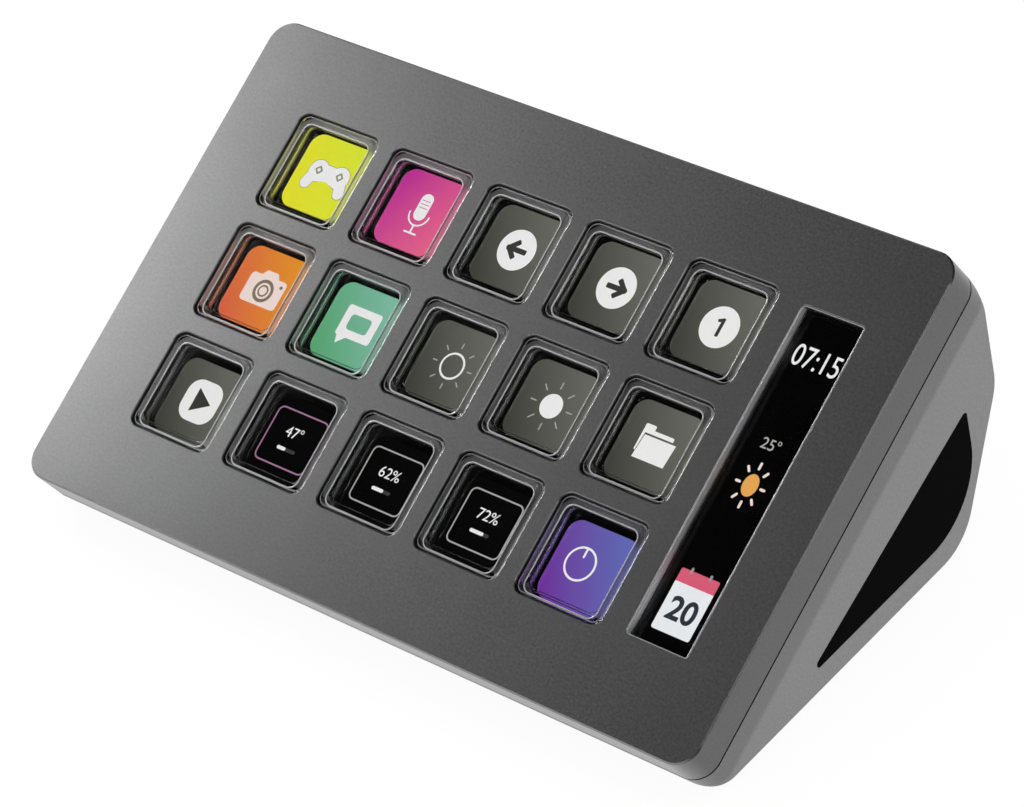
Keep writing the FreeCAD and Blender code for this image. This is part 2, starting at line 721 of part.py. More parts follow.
def make_sheet_and_contact_board():
    window = size.plug_size + 2 * size.window_gap, size.plug_corner_radius + size.window_gap
    dome_sheet = make_windowed_sheet("dome_sheet", sheet_top, contact_board_top, window, size.window_gap)
    finish_on_deck(dome_sheet, "dome_sheet")
    board = make_windowed_sheet("contact_board", contact_board_top, glass_top, window, size.window_gap)
    finish_on_deck(board, "contact_board")


# Display: glass and light unit in the tray

def make_display():
    for name, top, thickness in (
            ("display_glass", glass_top, size.glass_thickness),
            ("backlight", backlight_top, size.backlight_thickness)):
        body = new_body(name)
        plate = new_sketch(body, "plate", top)
        rectangle(plate, panel_width, panel_height, None, panel_x, panel_y)
        pad(body, plate, thickness, reverse=True)
        finish_on_deck(body, name)


# Display tray: holds the stack against the front shell and carries the posts of the back shell

def make_display_tray():
    body = new_body("display_tray")
    tray = new_sketch(body, "tray", glass_top)
    rectangle(tray, tray_width, tray_height, size.tray_corner_radius, panel_x, panel_y)
    pad(body, tray, glass_top - tray_bottom, reverse=True)
    lugs = new_sketch(body, "lugs", glass_top)
    for x, y in lug_places:
        end = 1 if y.number > panel_y.number else -1
        lug_depth = lug_reach + size.tray_wall
        lug_y = panel_y + end * (tray_height / 2 + lug_reach - lug_depth / 2)
        rectangle(lugs, size.lug_width, lug_depth, None, x, lug_y)
    pad(body, lugs, size.lug_thickness, reverse=True)
    posts = new_sketch(body, "posts", post_end)
    for x, y in post_places:
        circle(posts, size.post_diameter, x, y)
    pad(body, posts, size.post_length)
    hollow = new_sketch(body, "hollow", glass_top)
    rectangle(
        hollow, panel_width + 2 * size.panel_gap, panel_height + 2 * size.panel_gap, None,
        panel_x, panel_y)
    pocket(body, hollow, glass_top - tray_floor_top)
    lug_holes = new_sketch(body, "lug_holes", glass_top)
    for x, y in lug_places:
        circle(lug_holes, size.tray_screw_shank + 2 * size.screw_fit, x, y)
    pocket(body, lug_holes)
    pilots = new_sketch(body, "post_pilots", post_end)
    for x, y in post_places:
        circle(pilots, size.shell_screw_shank + 2 * size.screw_fit, x, y)
    pilot_depth = size.shell_screw_length - size.tunnel_seat + size.pilot_spare
    pocket(body, pilots, pilot_depth, reverse=True)
    slot = new_sketch(body, "ribbon_slot", tray_floor_top)
    rectangle(
        slot, size.display_ribbon_width + 2 * size.display_ribbon_slot, size.display_ribbon_slot, None,
        ZERO, -size.display_ribbon_setback)
    pocket(body, slot)
    finish_on_deck(body, "display_tray")


# Back shell: the wedge below the seam, made as its outside less the room inside it

def wedge_profile(body, inset, top_inset):
    """The wedge seen from the right, its sides moved inwards by inset and its top by top_inset."""
    sketch = new_sketch(body, "profile", ZERO, "YZ_Plane")
    corners = [
        (-half_height, -seam_depth),
        (-half_height, -(size.front_height / slope_cosine)),
        deck_place(underside_length, ZERO),
        deck_place(body_depth, size.kink_height),
        (half_height, -seam_depth),
    ]
    bends = [size.front_bend_radius, size.back_bend_radius, size.kink_bend_radius]
    radii = [None] + [bend if inset is ZERO else bend - inset for bend in bends] + [None]
    trace(sketch, corners, radii, [inset] * 4 + [top_inset])
    pad(body, sketch, face_width - 2 * inset, symmetric=True)


def trim_wedge(body, inset):
    """Round the upright corners of a wedge and draw its sides in below the crease."""
    trim = new_sketch(body, "corners")
    rectangle(trim, 2 * face_width, 2 * face_height)
    radius = size.face_corner_radius - inset
    rectangle(trim, face_width - 2 * inset, face_height - 2 * inset, radius)
    pocket(body, trim)
    for side, name in ((1, "right_draft"), (-1, "left_draft")):
        draft = side_sketch(body, name, side, inset)
        trace(draft, [
            (-face_height, -body_depth), (face_height, -body_depth), (face_height, ZERO),
            (-face_height, ZERO)])
        drafted = pocket(body, draft, reverse=side > 0)
    return drafted


def inset_outline(sketch, gap):
    """The flush panel of a side, drawn gap smaller all round."""
    back = body_depth - size.inset_back_gap
    front = back - size.inset_length
    corners = [
        side_corner(front, size.inset_bottom),
        side_corner(back, size.inset_bottom),
        side_corner(back, size.inset_bottom + size.inset_rise),
    ]
    radii = [size.inset_tip_radius, size.inset_bend_radius, size.inset_tip_radius]
    if gap is not ZERO:
        radii = [radius - gap for radius in radii]
    trace(sketch, corners, radii, [gap] * 3)


def lower_side_edges(feature):
    """Names of the edges round the two drawn-in sides, but for the short ones that reach the crease."""
    document.recompute()
    draw_in = math.tan(math.radians(size.side_draft.number))
    names = []
    for k, edge in enumerate(feature.Shape.Edges, start=1):
        points = [edge.valueAt(edge.FirstParameter), edge.CenterOfMass, edge.valueAt(edge.LastParameter)]
        depths = [-point.z - size.crease_depth.number for point in points]
        on_side = all(
            abs(half_width.number - depth * draw_in - abs(point.x)) < SAME_PLACE
            for point, depth in zip(points, depths))
        if on_side and min(depths) > SAME_PLACE:
            names.append(f"Edge{k}")
    return names


def make_back_shell_outside():
    body = new_body("back_shell_outside")
    wedge_profile(body, ZERO, ZERO)
    drafted = trim_wedge(body, ZERO)
    fillet(body, drafted, lower_side_edges(drafted), size.edge_radius)
    tongue = new_sketch(body, "tongue", -seam_depth)
    tongue_inset = size.rabbet_wall + size.fit_gap
    rectangle(
        tongue, face_width - 2 * tongue_inset, face_height - 2 * tongue_inset,
        size.face_corner_radius - tongue_inset)
    pad(body, tongue, size.tongue_height)
    for side, name in ((1, "right_inset"), (-1, "left_inset")):
        panel = side_sketch(body, name, side)
        inset_outline(panel, ZERO)
        pocket(body, panel, size.side_panel_thickness, reverse=side < 0)
    feet = level_sketch(body, "feet", ZERO)
    for x, back in foot_places.values():
        rectangle(
            feet, size.foot_width + 2 * size.fit_gap, size.foot_depth + 2 * size.fit_gap,
            size.foot_corner_radius, x, back)
    pocket(body, feet, size.foot_recess, reverse=True)
    head_room = HEAD_DIAMETER_SHARE * size.shell_screw_shank + 2 * size.head_fit
    for name, level, diameter in (
            ("screw_holes", post_end, size.shell_screw_shank + 2 * size.screw_fit),
            ("screw_tunnels", tunnel_shoulder, head_room)):
        holes = new_sketch(body, name, level)
        for x, y in post_places:
            circle(holes, diameter, x, y)
        pocket(body, holes)
    pilots = level_sketch(body, "board_pilots", board_bottom)
    for x, back in board_hole_places:
        circle(pilots, size.board_screw_shank + 2 * size.screw_fit, x, back)
    pocket(body, pilots, size.board_screw_length - size.board_thickness + size.pilot_spare)
    port = upright_sketch(body, "port", port_plane)
    rectangle(port, size.port_width, size.port_height, size.port_corner_radius, ZERO, port_up)
    pocket(body, port)
    slot = upright_sketch(body, "port_slot", port_plane - size.port_floor - size.overrun)
    rectangle(
        slot, size.usb_width + 2 * size.usb_gap, size.usb_height + 2 * size.usb_gap,
        size.usb_corner_radius + size.usb_gap, ZERO, port_up)
    pocket(body, slot)
    return body


def make_back_shell_room():
    body = new_body("back_shell_room")
    wedge_profile(body, size.wall, -(size.tongue_height + size.overrun))
    trim_wedge(body, size.wall)
    columns = new_sketch(body, "columns", post_end)
    tunnel = HEAD_DIAMETER_SHARE * size.shell_screw_shank + 2 * (size.head_fit + size.tunnel_wall)
    for x, y in post_places:
        circle(columns, tunnel, x, y)
    pocket(body, columns)
    bosses = level_sketch(body, "board_bosses", board_bottom)
    for x, back in board_hole_places:
        circle(bosses, size.board_boss_diameter, x, back)
    pocket(body, bosses)
    housing = upright_sketch(body, "port_housing", port_plane - size.port_floor)
    housing_top = port_up + size.port_height / 2 + size.port_cheek
    rectangle(
        housing, size.port_width + 2 * size.port_cheek, housing_top, None, ZERO, housing_top / 2)
    pocket(body, housing)
    return body


def make_back_shell():
    shell = document.addObject("Part::Cut", "back_shell")
    shell.Base = make_back_shell_outside()
    shell.Tool = make_back_shell_room()
    finish_on_deck(shell, "back_shell")


def make_side_panels():
    for side, name in ((1, "side_panel_right"), (-1, "side_panel_left")):
        body = new_body(name)
        panel = side_sketch(body, "panel", side)
        inset_outline(panel, size.fit_gap)
        pad(body, panel, size.side_panel_thickness, reverse=side > 0)
        finish_on_deck(body, name)


# Screws, with a six-sided socket in the head

def make_screw(name, shank, length):
    """A screw with its seat at zero, its head above it and its shank below."""
    stem = document.addObject("Part::Cylinder", f"{name}_stem")
    stem.setExpression("Radius", (shank / 2).text)
    stem.setExpression("Height", length.text)
    stem.setExpression("Placement.Base.z", (-length).text)
    head = document.addObject("Part::Cylinder", f"{name}_head")
    head.setExpression("Radius", (HEAD_DIAMETER_SHARE * shank / 2).text)
    head.setExpression("Height", (HEAD_HEIGHT_SHARE * shank).text)
    solid = document.addObject("Part::Fuse", f"{name}_solid")
    solid.Base = stem
    solid.Tool = head
    socket = document.addObject("Part::Prism", f"{name}_socket")
    socket.Polygon = 6
    socket.setExpression("Circumradius", (SOCKET_RADIUS_SHARE * shank).text)
    socket.setExpression("Height", (SOCKET_DEPTH_SHARE * shank + size.overrun).text)
    socket.setExpression(
        "Placement.Base.z", ((HEAD_HEIGHT_SHARE - SOCKET_DEPTH_SHARE) * shank).text)
    screw = document.addObject("Part::Cut", name)
    screw.Base = solid
    screw.Tool = socket
    return screw


def make_screw_group(name, shank, length, places, overturned):
    """Like screws at several places of the piece's frame, overturned where they point up."""
    screws = []
    for number, (x, y, z) in enumerate(places, start=1):
        screw = make_screw(f"{name}_{number}", shank, length)
        if overturned:
            screw.Placement = FreeCAD.Placement(
                FreeCAD.Vector(), FreeCAD.Rotation(FreeCAD.Vector(1, 0, 0), 180))
        screw.setExpression("Placement.Base.x", x.text)
        screw.setExpression("Placement.Base.y", y.text)
        screw.setExpression("Placement.Base.z", z.text)
        screws.append(screw)
    group = document.addObject("Part::Compound", name)
    group.Links = screws
    return group


def make_screws():
    tray_places = [(x, y, lug_bottom) for x, y in lug_places]
    tray_screws = make_screw_group(
        "tray_screws", size.tray_screw_shank, size.tray_screw_length, tray_places, True)
    finish_on_deck(tray_screws, "tray_screws")
    shell_places = [(x, y, tunnel_shoulder) for x, y in post_places]
    shell_screws = make_screw_group(
        "shell_screws", size.shell_screw_shank, size.shell_screw_length, shell_places, True)
    finish_on_deck(shell_screws, "shell_screws")
    board_places = [(x, back, board_top) for x, back in board_hole_places]
    board_screws = make_screw_group(
        "board_screws", size.board_screw_shank, size.board_screw_length, board_places, False)
    finish_on_stand(board_screws, "board_screws")


# Main board and what stands on it

def make_main_board():
    body = new_body("main_board")
    plate = new_sketch(body, "plate")
    rectangle(plate, size.board_width, size.board_depth, size.board_corner_radius)
    for x, back in board_hole_places:
        circle(plate, size.board_screw_shank + 2 * size.screw_fit, x, back - board_middle)
    pad(body, plate, size.board_thickness)
    finish_on_stand(body, "main_board", ZERO, board_middle, board_bottom)


def make_block(name, width, depth, height, x, back):
    """A bevelled block on the main board."""
    body = new_body(name)
    base = new_sketch(body, "base")
    rectangle(base, width, depth)
    block = pad(body, base, height)
    chamfer(body, block, edges_at(block, height), size.chip_bevel)
    finish_on_stand(body, name, x, back, board_top)


def make_usb_socket():
    body = new_body("usb_socket")
    case = new_sketch(body, "case", ZERO, "XZ_Plane")
    rectangle(case, size.usb_width, size.usb_height, size.usb_corner_radius)
    pad(body, case, size.usb_depth)
    mouth = new_sketch(body, "mouth", ZERO, "XZ_Plane")
    rectangle(
        mouth, size.usb_width - 2 * size.usb_shell, size.usb_height - 2 * size.usb_shell,
        size.usb_corner_radius - size.usb_shell)
    pocket(body, mouth, size.usb_depth - size.usb_back_wall, reverse=True)
    tongue = new_sketch(body, "tongue", size.usb_tongue_setback, "XZ_Plane")
    rectangle(tongue, size.usb_tongue_width, size.usb_tongue_height)
    pad(body, tongue, size.usb_depth - size.usb_tongue_setback - size.usb_back_wall / 2)
    finish_on_stand(body, "usb_socket", ZERO, port_plane, port_up)


# Ribbon cables, each swept from the top of its connector along a route in its middle plane

def make_ribbon(name, width, x, route, bends):
    """A ribbon along a route of (back, up) points, the first one on its connector."""
    start_back, start_up = route[0]
    body = new_body(name)
    section = new_sketch(body, "section")
    rectangle(section, width, size.ribbon_thickness)
    spine = new_sketch(body, "spine", ZERO, "YZ_Plane")
    points = [(back - start_back, up - start_up) for back, up in route]
    trace(spine, points, [None] + bends + [None], None, closed=False)
    sweep = body.newObject("PartDesign::AdditivePipe", f"{name}_sweep")
    sweep.Profile = section
    sweep.Spine = spine
    finish_on_stand(body, name, x, start_back, start_up)


def make_ribbons():
    connector_top = board_top + size.connector_height
    leave_y = -size.display_ribbon_setback
    leave = stand_place(leave_y, tray_floor_top)
    turn = stand_place(leave_y, tray_floor_top - size.display_ribbon_drop)
    display_back = turn[0]
    make_ribbon(
        "display_ribbon", size.display_ribbon_width, ZERO,
        [(display_back, connector_top), turn, leave], [size.ribbon_sweep_radius])
    make_block(
        "display_connector", size.display_ribbon_width + 2 * size.connector_cheek,
        size.connector_depth, size.connector_height, ZERO, display_back)

    contact_connector_width = size.contact_ribbon_width + 2 * size.connector_cheek
    screw_clear = HEAD_DIAMETER_SHARE * size.board_screw_shank / 2 + size.contact_connector_gap
    contact_side = size.board_width / 2 - size.board_hole_inset - screw_clear - contact_connector_width / 2
    edge_y = panel_y + tray_height / 2
    edge_z = contact_board_top - size.contact_board_thickness / 2
    contact_back = board_back - size.contact_connector_inset
    contact_route = [
        (contact_back, connector_top),
        (contact_back, connector_top + size.contact_ribbon_rise),
        stand_place(edge_y + size.contact_ribbon_reach, edge_z - size.contact_ribbon_drop),
        stand_place(edge_y + size.contact_ribbon_reach, edge_z),
        stand_place(edge_y, edge_z),
    ]
    make_ribbon(
        "contact_ribbon", size.contact_ribbon_width, -contact_side, contact_route,
        [size.ribbon_sweep_radius, size.ribbon_sweep_radius, size.ribbon_bend_radius])
    make_block(
        "contact_connector", contact_connector_width, size.connector_depth, size.connector_height,
        -contact_side, contact_back)


def make_chips():
    make_block(
        "processor_chip", size.processor_size, size.processor_size, size.chip_height,
        size.processor_side, board_back - size.processor_inset)
    make_block(
        "memory_chip", size.memory_width, size.memory_depth, size.chip_height,
        -size.memory_side, board_back - size.memory_inset)


# Rubber feet in their pockets

def make_feet():
    for name, (x, back) in foot_places.items():
        body = new_body(name)
        base = new_sketch(body, "base", -foot_proud)
        rectangle(base, size.foot_width, size.foot_depth, size.foot_corner_radius - size.fit_gap)
        block = pad(body, base, size.foot_thickness)
        chamfer(body, block, edges_at(block, -foot_proud), size.foot_chamfer)
        finish_on_stand(body, name, x, back, ZERO)


make_front_shell()
make_keys()
make_strip_window()
make_key_guide()
make_sheet_and_contact_board()
make_display()
make_display_tray()
make_back_shell()
make_side_panels()
make_screws()
make_main_board()
make_usb_socket()
make_ribbons()
make_chips()
make_feet()
document.recompute()

for thing in document.Objects:
    if "Invalid" in thing.State or "Error" in thing.State:
        raise RuntimeError(f"{thing.Name} failed: {thing.State}")
for piece in sub_parts:
    if piece.Shape.isNull() or not piece.Shape.isValid():
        raise RuntimeError(f"{piece.Label} has no valid shape")

os.makedirs("parts", exist_ok=True)
for piece in sub_parts:
    piece.Shape.exportStep(f"parts/{piece.Label}.step")
    print(f"{piece.Label}: {len(piece.Shape.Solids)} solids, {piece.Shape.Volume:.1f} mm3")
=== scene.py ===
import json
import math

import bpy
from bpy.props import FloatProperty, FloatVectorProperty, PointerProperty
from mathutils import Matrix, Vector


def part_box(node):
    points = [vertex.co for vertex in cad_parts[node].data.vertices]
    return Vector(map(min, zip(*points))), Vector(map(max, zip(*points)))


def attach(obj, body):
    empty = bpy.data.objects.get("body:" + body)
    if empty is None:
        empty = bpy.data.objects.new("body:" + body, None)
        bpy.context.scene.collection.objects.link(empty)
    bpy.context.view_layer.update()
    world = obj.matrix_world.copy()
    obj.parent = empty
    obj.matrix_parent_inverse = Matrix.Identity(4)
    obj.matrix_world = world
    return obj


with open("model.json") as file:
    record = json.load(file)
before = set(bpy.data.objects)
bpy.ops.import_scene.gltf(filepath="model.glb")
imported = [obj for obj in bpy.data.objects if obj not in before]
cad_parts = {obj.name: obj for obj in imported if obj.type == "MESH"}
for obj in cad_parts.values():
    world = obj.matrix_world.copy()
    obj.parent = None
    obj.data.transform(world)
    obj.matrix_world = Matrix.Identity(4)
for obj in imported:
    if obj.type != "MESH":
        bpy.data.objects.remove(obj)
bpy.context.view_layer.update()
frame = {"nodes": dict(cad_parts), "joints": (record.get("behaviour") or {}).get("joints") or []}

# Looks of a desk keypad: fifteen clear keys over one display, and a tall strip display beside them.

bl_info = {
    "name": "Display Keypad Looks",
    "version": (1, 0, 0),
    "blender": (4, 5, 0),
    "location": "3D View > Sidebar > Keypad",
    "description": "Finishes, screen pictures and studio of a desk keypad with display keys",
    "category": "Object",
}

MM = 0.001
KEY_COLUMNS = 5
KEY_ROWS = 3

# The deck frame: origin at the centre of the face, x to the right, y up the slope, z out of the face

inward = Vector(frame["joints"][0]["axis"])
TILT = math.atan2(inward.y, -inward.z)
TURN = Matrix.Rotation(TILT, 4, "X")


def box_in(matrix, node):
    """Lowest and highest corner of a node in the frame of a matrix."""
    back = matrix.inverted()
    points = [back @ vertex.co for vertex in frame["nodes"][node].data.vertices]
    low = Vector([min(point[axis] for point in points) for axis in range(3)])
    high = Vector([max(point[axis] for point in points) for axis in range(3)])
    return low, high


shell_low, shell_high = box_in(TURN, "front_shell")
shell_middle = (shell_low + shell_high) / 2
DECK = TURN @ Matrix.Translation((shell_middle.x, shell_middle.y, shell_high.z))


def deck_box(node):
    return box_in(DECK, node)


def deck_middle(node):
    low, high = deck_box(node)
    return (low + high) / 2


FACE_WIDTH = shell_high.x - shell_low.x
RIM_DEPTH = shell_high.z - shell_low.z
SCREEN_LEVEL = deck_box("display_glass")[1].z
KEY_MIDDLES = {
    (row, column): deck_middle(f"key_r{row}c{column}")
    for row in range(1, KEY_ROWS + 1) for column in range(1, KEY_COLUMNS + 1)}
MIDDLE_KEY = KEY_MIDDLES[2, 3]
KEY_PITCH = KEY_MIDDLES[2, 4].x - MIDDLE_KEY.x
KEY_FLANGE_OVERLAP = 0.7 * MM
key_low, key_high = deck_box("key_r2c3")
KEY_CAP_WIDTH = key_high.x - key_low.x - 2 * KEY_FLANGE_OVERLAP
STRIP_MIDDLE = deck_middle("strip_window")
strip_low, strip_high = deck_box("strip_window")
STRIP_FLANGE = 0.8 * MM
STRIP_GAP = 0.1 * MM
STRIP_HALF = (strip_high.x - strip_low.x) / 2 - STRIP_FLANGE + STRIP_GAP

# Places of a change of finish, and of painted shade and painted highlight, in millimetres

SHADED_SIDE_BAND = 4.0  # the sides darkened as painted shade, inwards from both ends
SOFT_EDGE = 0.2
HIGHLIGHT_WALL_REACH = 0.3  # the strip opening's left wall, painted bright as a highlight
SHADED_WALL_TOP = -0.1  # the walls of the key openings below the face, painted dark as shade
DISH_WIDTH = 13.62
DISH_CORNER = 1.6
DISH_FRAME = 0.98  # the frosted frame round a dish
FRONT_LINE = -6.6  # where that frame ends at the front, from the middle of a key
SHADED_RIGHT_LINE = 6.4  # where its right side, darkened as painted shade, starts
SAWN_SIDE = 5.3  # the matt sides of the strip window, from its middle
PIXEL_PITCH = 0.09

# Lengths on beads and pads, in metres. A bead's inset is from the side of a cap.

OUTER_BEAD_INSET = 0.16 * MM
INNER_BEAD_INSET = 1.1 * MM
FRONT_BEAD_INSET = 0.27 * MM
STRIP_BEAD_LEVEL = -0.12 * MM
STRIP_BEAD_OVERLAP = 0.02 * MM
TONGUE_HALF = 0.35 * MM
TONGUE_TIP = 1.1 * MM
PAD_WIDTH, PAD_LENGTH, PAD_HEIGHT, PAD_PITCH = 0.25 * MM, 3.2 * MM, 0.03 * MM, 0.5 * MM
PADS_IN_ROW = 12

# Colours and tones that belong to those places: the two wall colours and the right side tone are painted
# highlight and painted shade

WALL_HIGHLIGHT_COLOUR = (0.86, 0.86, 0.87, 1)
WALL_SHADE_COLOUR = (0.012, 0.012, 0.012, 1)
RIGHT_SIDE_SHADE = 0.4
CLOUD_SHARE = 0.12  # slow clouds against the fine grain
SLOPE_ACROSS, SLOPE_UP = 0.055, 0.03  # run of a tile's colour for each millimetre

# Sizes and colours that a user would change


def length_size(name, description, millimetres):
    return FloatProperty(
        name=name, description=description, default=millimetres * MM, unit="LENGTH", subtype="DISTANCE")


def point(name, description, *millimetres):
    return FloatVectorProperty(
        name=name, description=description, default=[part * MM for part in millimetres], size=3,
        unit="LENGTH", subtype="TRANSLATION")


def colour(name, description, red, green, blue):
    return FloatVectorProperty(
        name=name, description=description, default=(red, green, blue), size=3, min=0, max=1,
        subtype="COLOR")


def share(name, description, value):
    return FloatProperty(
        name=name, description=description, default=value, min=0, max=1, subtype="FACTOR")


def power(name, description, watts):
    return FloatProperty(name=name, description=description, default=watts, unit="POWER")


class KeypadFinishes(bpy.types.PropertyGroup):
    case_colour: colour("Case", "Satin metallic paint of both shells", 0.27, 0.27, 0.272)
    case_roughness: share("Case roughness", "Roughness of the satin paint", 0.33)
    case_metal: share("Case metal", "How metallic the paint is", 0.75)
    # Painted shade: these two tones darken the upper sides of the case near both ends, which on the real
    # case only meet the light at other angles.
    rim_painted_shade: share("Rim tone", "Tone of the front shell's sides against the case", 0.51)
    crease_painted_shade: share("Crease tone", "Tone of the sides between joint line and crease", 0.72)
    crease_depth: length_size("Crease depth", "Face to the crease of the sides", 10)
    grain_size: length_size("Paint grain", "Grain of the paint", 0.42)
    panel_colour: colour("Side panel", "Black inserts in the sides", 0.004, 0.004, 0.0042)
    rubber_colour: colour("Rubber", "Feet", 0.022, 0.022, 0.023)
    key_colour: colour("Key plastic", "Clear caps", 0.97, 0.97, 0.975)
    frame_colour: colour("Cap frame", "Frosted frame of a cap", 0.85, 0.85, 0.86)
    # Painted highlight: the near-white colour of the beads stands for light caught on clear edges.
    highlight_bead_colour: colour("Cap edges", "Polished beads of a cap", 0.93, 0.93, 0.94)
    frost: share("Frost", "Roughness of the frosted frame", 0.5)
    sheet_colour: colour("Dome sheet", "Milky silicone under the caps", 0.5, 0.5, 0.5)
    board_colour: colour("Boards", "Solder mask of the circuit boards", 0.012, 0.075, 0.035)
    steel_colour: colour("Steel", "Screws and socket", 0.52, 0.52, 0.53)


class KeypadPictures(bpy.types.PropertyGroup):
    tile_size: length_size("Tile", "Square tile picture under a key", 12.8)
    tile_corner: length_size("Tile corner", "Corner radius of a tile", 2.3)
    pitch_across: length_size("Pitch across", "Tile to tile, left to right", 19.45)
    pitch_down: length_size("Pitch down", "Tile to tile, top to bottom", 19.98)
    shift_across: length_size("Shift across", "Middle tile against the middle key", -0.3)
    shift_down: length_size("Shift down", "Middle tile below the middle key", 0.15)
    layer: length_size("Layer", "Thickness of one layer of a picture", 0.015)
    brightness: FloatProperty(
        name="Brightness", description="Brightness of the screen", default=1.08, min=0, max=5)


class KeypadStudio(bpy.types.PropertyGroup):
    camera_place: point("Camera", "Place of the camera", 409.694, -350.634, 448.749)
    camera_aim: point("Aim", "Point of the face in the middle of the view", 9.681, -3.573, 27.306)
    camera_roll: FloatProperty(
        name="Roll", description="Lean of the camera", default=math.radians(-13.541), subtype="ANGLE")
    lens: FloatProperty(
        name="Lens", description="Focal length in millimetres", default=163.83, unit="CAMERA")
    left_lamp: power("Left lamp", "Soft lamp close to the left end", 1.33)
    right_lamp: power("Right lamp", "Narrow lamp high on the right", 0.4)
    front_lamp: power("Front lamp", "Soft lamp low in front", 0.12)
    overhead: share("Overhead", "Brightness of the ceiling", 0.015)


# Node trees


def new_group(name, inputs, outputs):
    """A node group with float, colour and vector sockets, what it is given, and its last node."""
    group = bpy.data.node_groups.new(name, "ShaderNodeTree")
    for side, sockets in (("INPUT", inputs), ("OUTPUT", outputs)):
        for label, kind in sockets:
            group.interface.new_socket(name=label, in_out=side, socket_type=f"NodeSocket{kind}")
    return group, group.nodes.new("NodeGroupInput").outputs, group.nodes.new("NodeGroupOutput")


def set_inputs(tree, node, values):
    """Set a node's inputs, or link those whose value is a socket."""
    for label, value in values.items():
        if isinstance(value, bpy.types.NodeSocket):
            tree.links.new(value, node.inputs[label])
        else:
            node.inputs[label].default_value = value


def add_node(tree, kind, values=None, **settings):
    node = tree.nodes.new(kind)
    for setting, value in settings.items():
        setattr(node, setting, value)
    set_inputs(tree, node, values or {})
    return node


def math_node(tree, operation, first, second=0.0, clamp=False):
    node = add_node(tree, "ShaderNodeMath", {0: first, 1: second}, operation=operation, use_clamp=clamp)
    return node.outputs[0]


def distance(tree, value, middle):
    return math_node(tree, "ABSOLUTE", math_node(tree, "SUBTRACT", value, middle))


def mix_values(tree, factor, first, second):
    return add_node(tree, "ShaderNodeMix", {"Factor": factor, "A": first, "B": second}).outputs[0]


def mix_colours(tree, factor, first, second, blend="MIX"):
    node = add_node(
        tree, "ShaderNodeMix", {"Factor": factor, 6: first, 7: second}, data_type="RGBA",
        blend_type=blend, clamp_factor=True)
    return node.outputs[2]


def tinted(tree, rgb, tint):
    return mix_colours(tree, 1.0, rgb, tint, "MULTIPLY")


def toned(tree, rgb, tone):
    """A colour made darker or lighter by a value."""
    grey = add_node(tree, "ShaderNodeCombineXYZ", {"X": tone, "Y": tone, "Z": tone})
    return tinted(tree, rgb, grey.outputs[0])


def split(tree, vector):
    """The X, Y and Z of a vector."""
    return add_node(tree, "ShaderNodeSeparateXYZ", {"Vector": vector}).outputs


def rise(tree, value, low, high, start=0.0, end=1.0):
    """A value taken from one range to another, and kept in it."""
    node = add_node(tree, "ShaderNodeMapRange", {
        "Value": value, "From Min": low, "From Max": high, "To Min": start, "To Max": end})
    return node.outputs["Result"]


def opaque(rgb):
    return (*rgb, 1.0)


def make_deck_place_group():
    """Millimetres in the deck frame."""
    group, _, output = new_group("Deck place", [], [("Place", "Vector")])
    to_deck = Matrix.Scale(1 / MM, 4) @ DECK.inverted()
    turned = add_node(group, "ShaderNodeMapping", {
        "Vector": add_node(group, "ShaderNodeTexCoord").outputs["Object"],
        "Location": to_deck.translation, "Rotation": to_deck.to_euler(),
        "Scale": to_deck.to_scale()}, vector_type="POINT")
    set_inputs(group, output, {"Place": turned.outputs["Vector"]})
    return group


def make_grain_group():
    """Fine grain and slow clouds over a colour and a roughness, and the height for a bump."""
    group, given, output = new_group(
        "Fine grain",
        [("Place", "Vector"), ("Grain Size", "Float"), ("Color", "Color"), ("Contrast", "Float"),
         ("Roughness", "Float"), ("Roughness Spread", "Float")],
        [("Color", "Color"), ("Roughness", "Float"), ("Height", "Float")])
    scale = math_node(group, "DIVIDE", 1.0, given["Grain Size"])
    grain = add_node(group, "ShaderNodeTexNoise", {
        "Vector": given["Place"], "Scale": scale, "Detail": 3.0, "Roughness": 0.6})
    clouds = add_node(group, "ShaderNodeTexNoise", {
        "Vector": given["Place"], "Scale": 0.07, "Detail": 2.0, "Roughness": 0.5})
    spread = math_node(group, "SUBTRACT", grain.outputs["Fac"], 0.5)
    slow = math_node(group, "SUBTRACT", clouds.outputs["Fac"], 0.5)
    mixed = math_node(group, "ADD", spread, math_node(group, "MULTIPLY", slow, CLOUD_SHARE))
    tone = math_node(group, "ADD", math_node(group, "MULTIPLY", mixed, given["Contrast"]), 1.0)
    rough = math_node(group, "MULTIPLY", mixed, given["Roughness Spread"])
    set_inputs(group, output, {
        "Color": toned(group, given["Color"], tone),
        "Roughness": math_node(group, "ADD", rough, given["Roughness"], clamp=True),
        "Height": grain.outputs["Fac"]})
    return group


def make_pixel_group():
    """The fine pixel grid of a lit screen over a colour."""
    group, given, output = new_group(
        "Pixel grid", [("Place", "Vector"), ("Color", "Color"), ("Pitch", "Float")],
        [("Color", "Color")])
    grid = add_node(group, "ShaderNodeTexBrick", {
        "Vector": given["Place"], "Color1": given["Color"],
        "Color2": tinted(group, given["Color"], (0.93, 0.93, 0.95, 1)),
        "Mortar": tinted(group, given["Color"], (0.6, 0.6, 0.62, 1)),
        "Scale": 1.0, "Mortar Size": 0.006, "Mortar Smooth": 0.4,
        "Brick Width": given["Pitch"], "Row Height": given["Pitch"]}, offset=0.0, squash=1.0)
    set_inputs(group, output, {"Color": grid.outputs["Color"]})
    return group


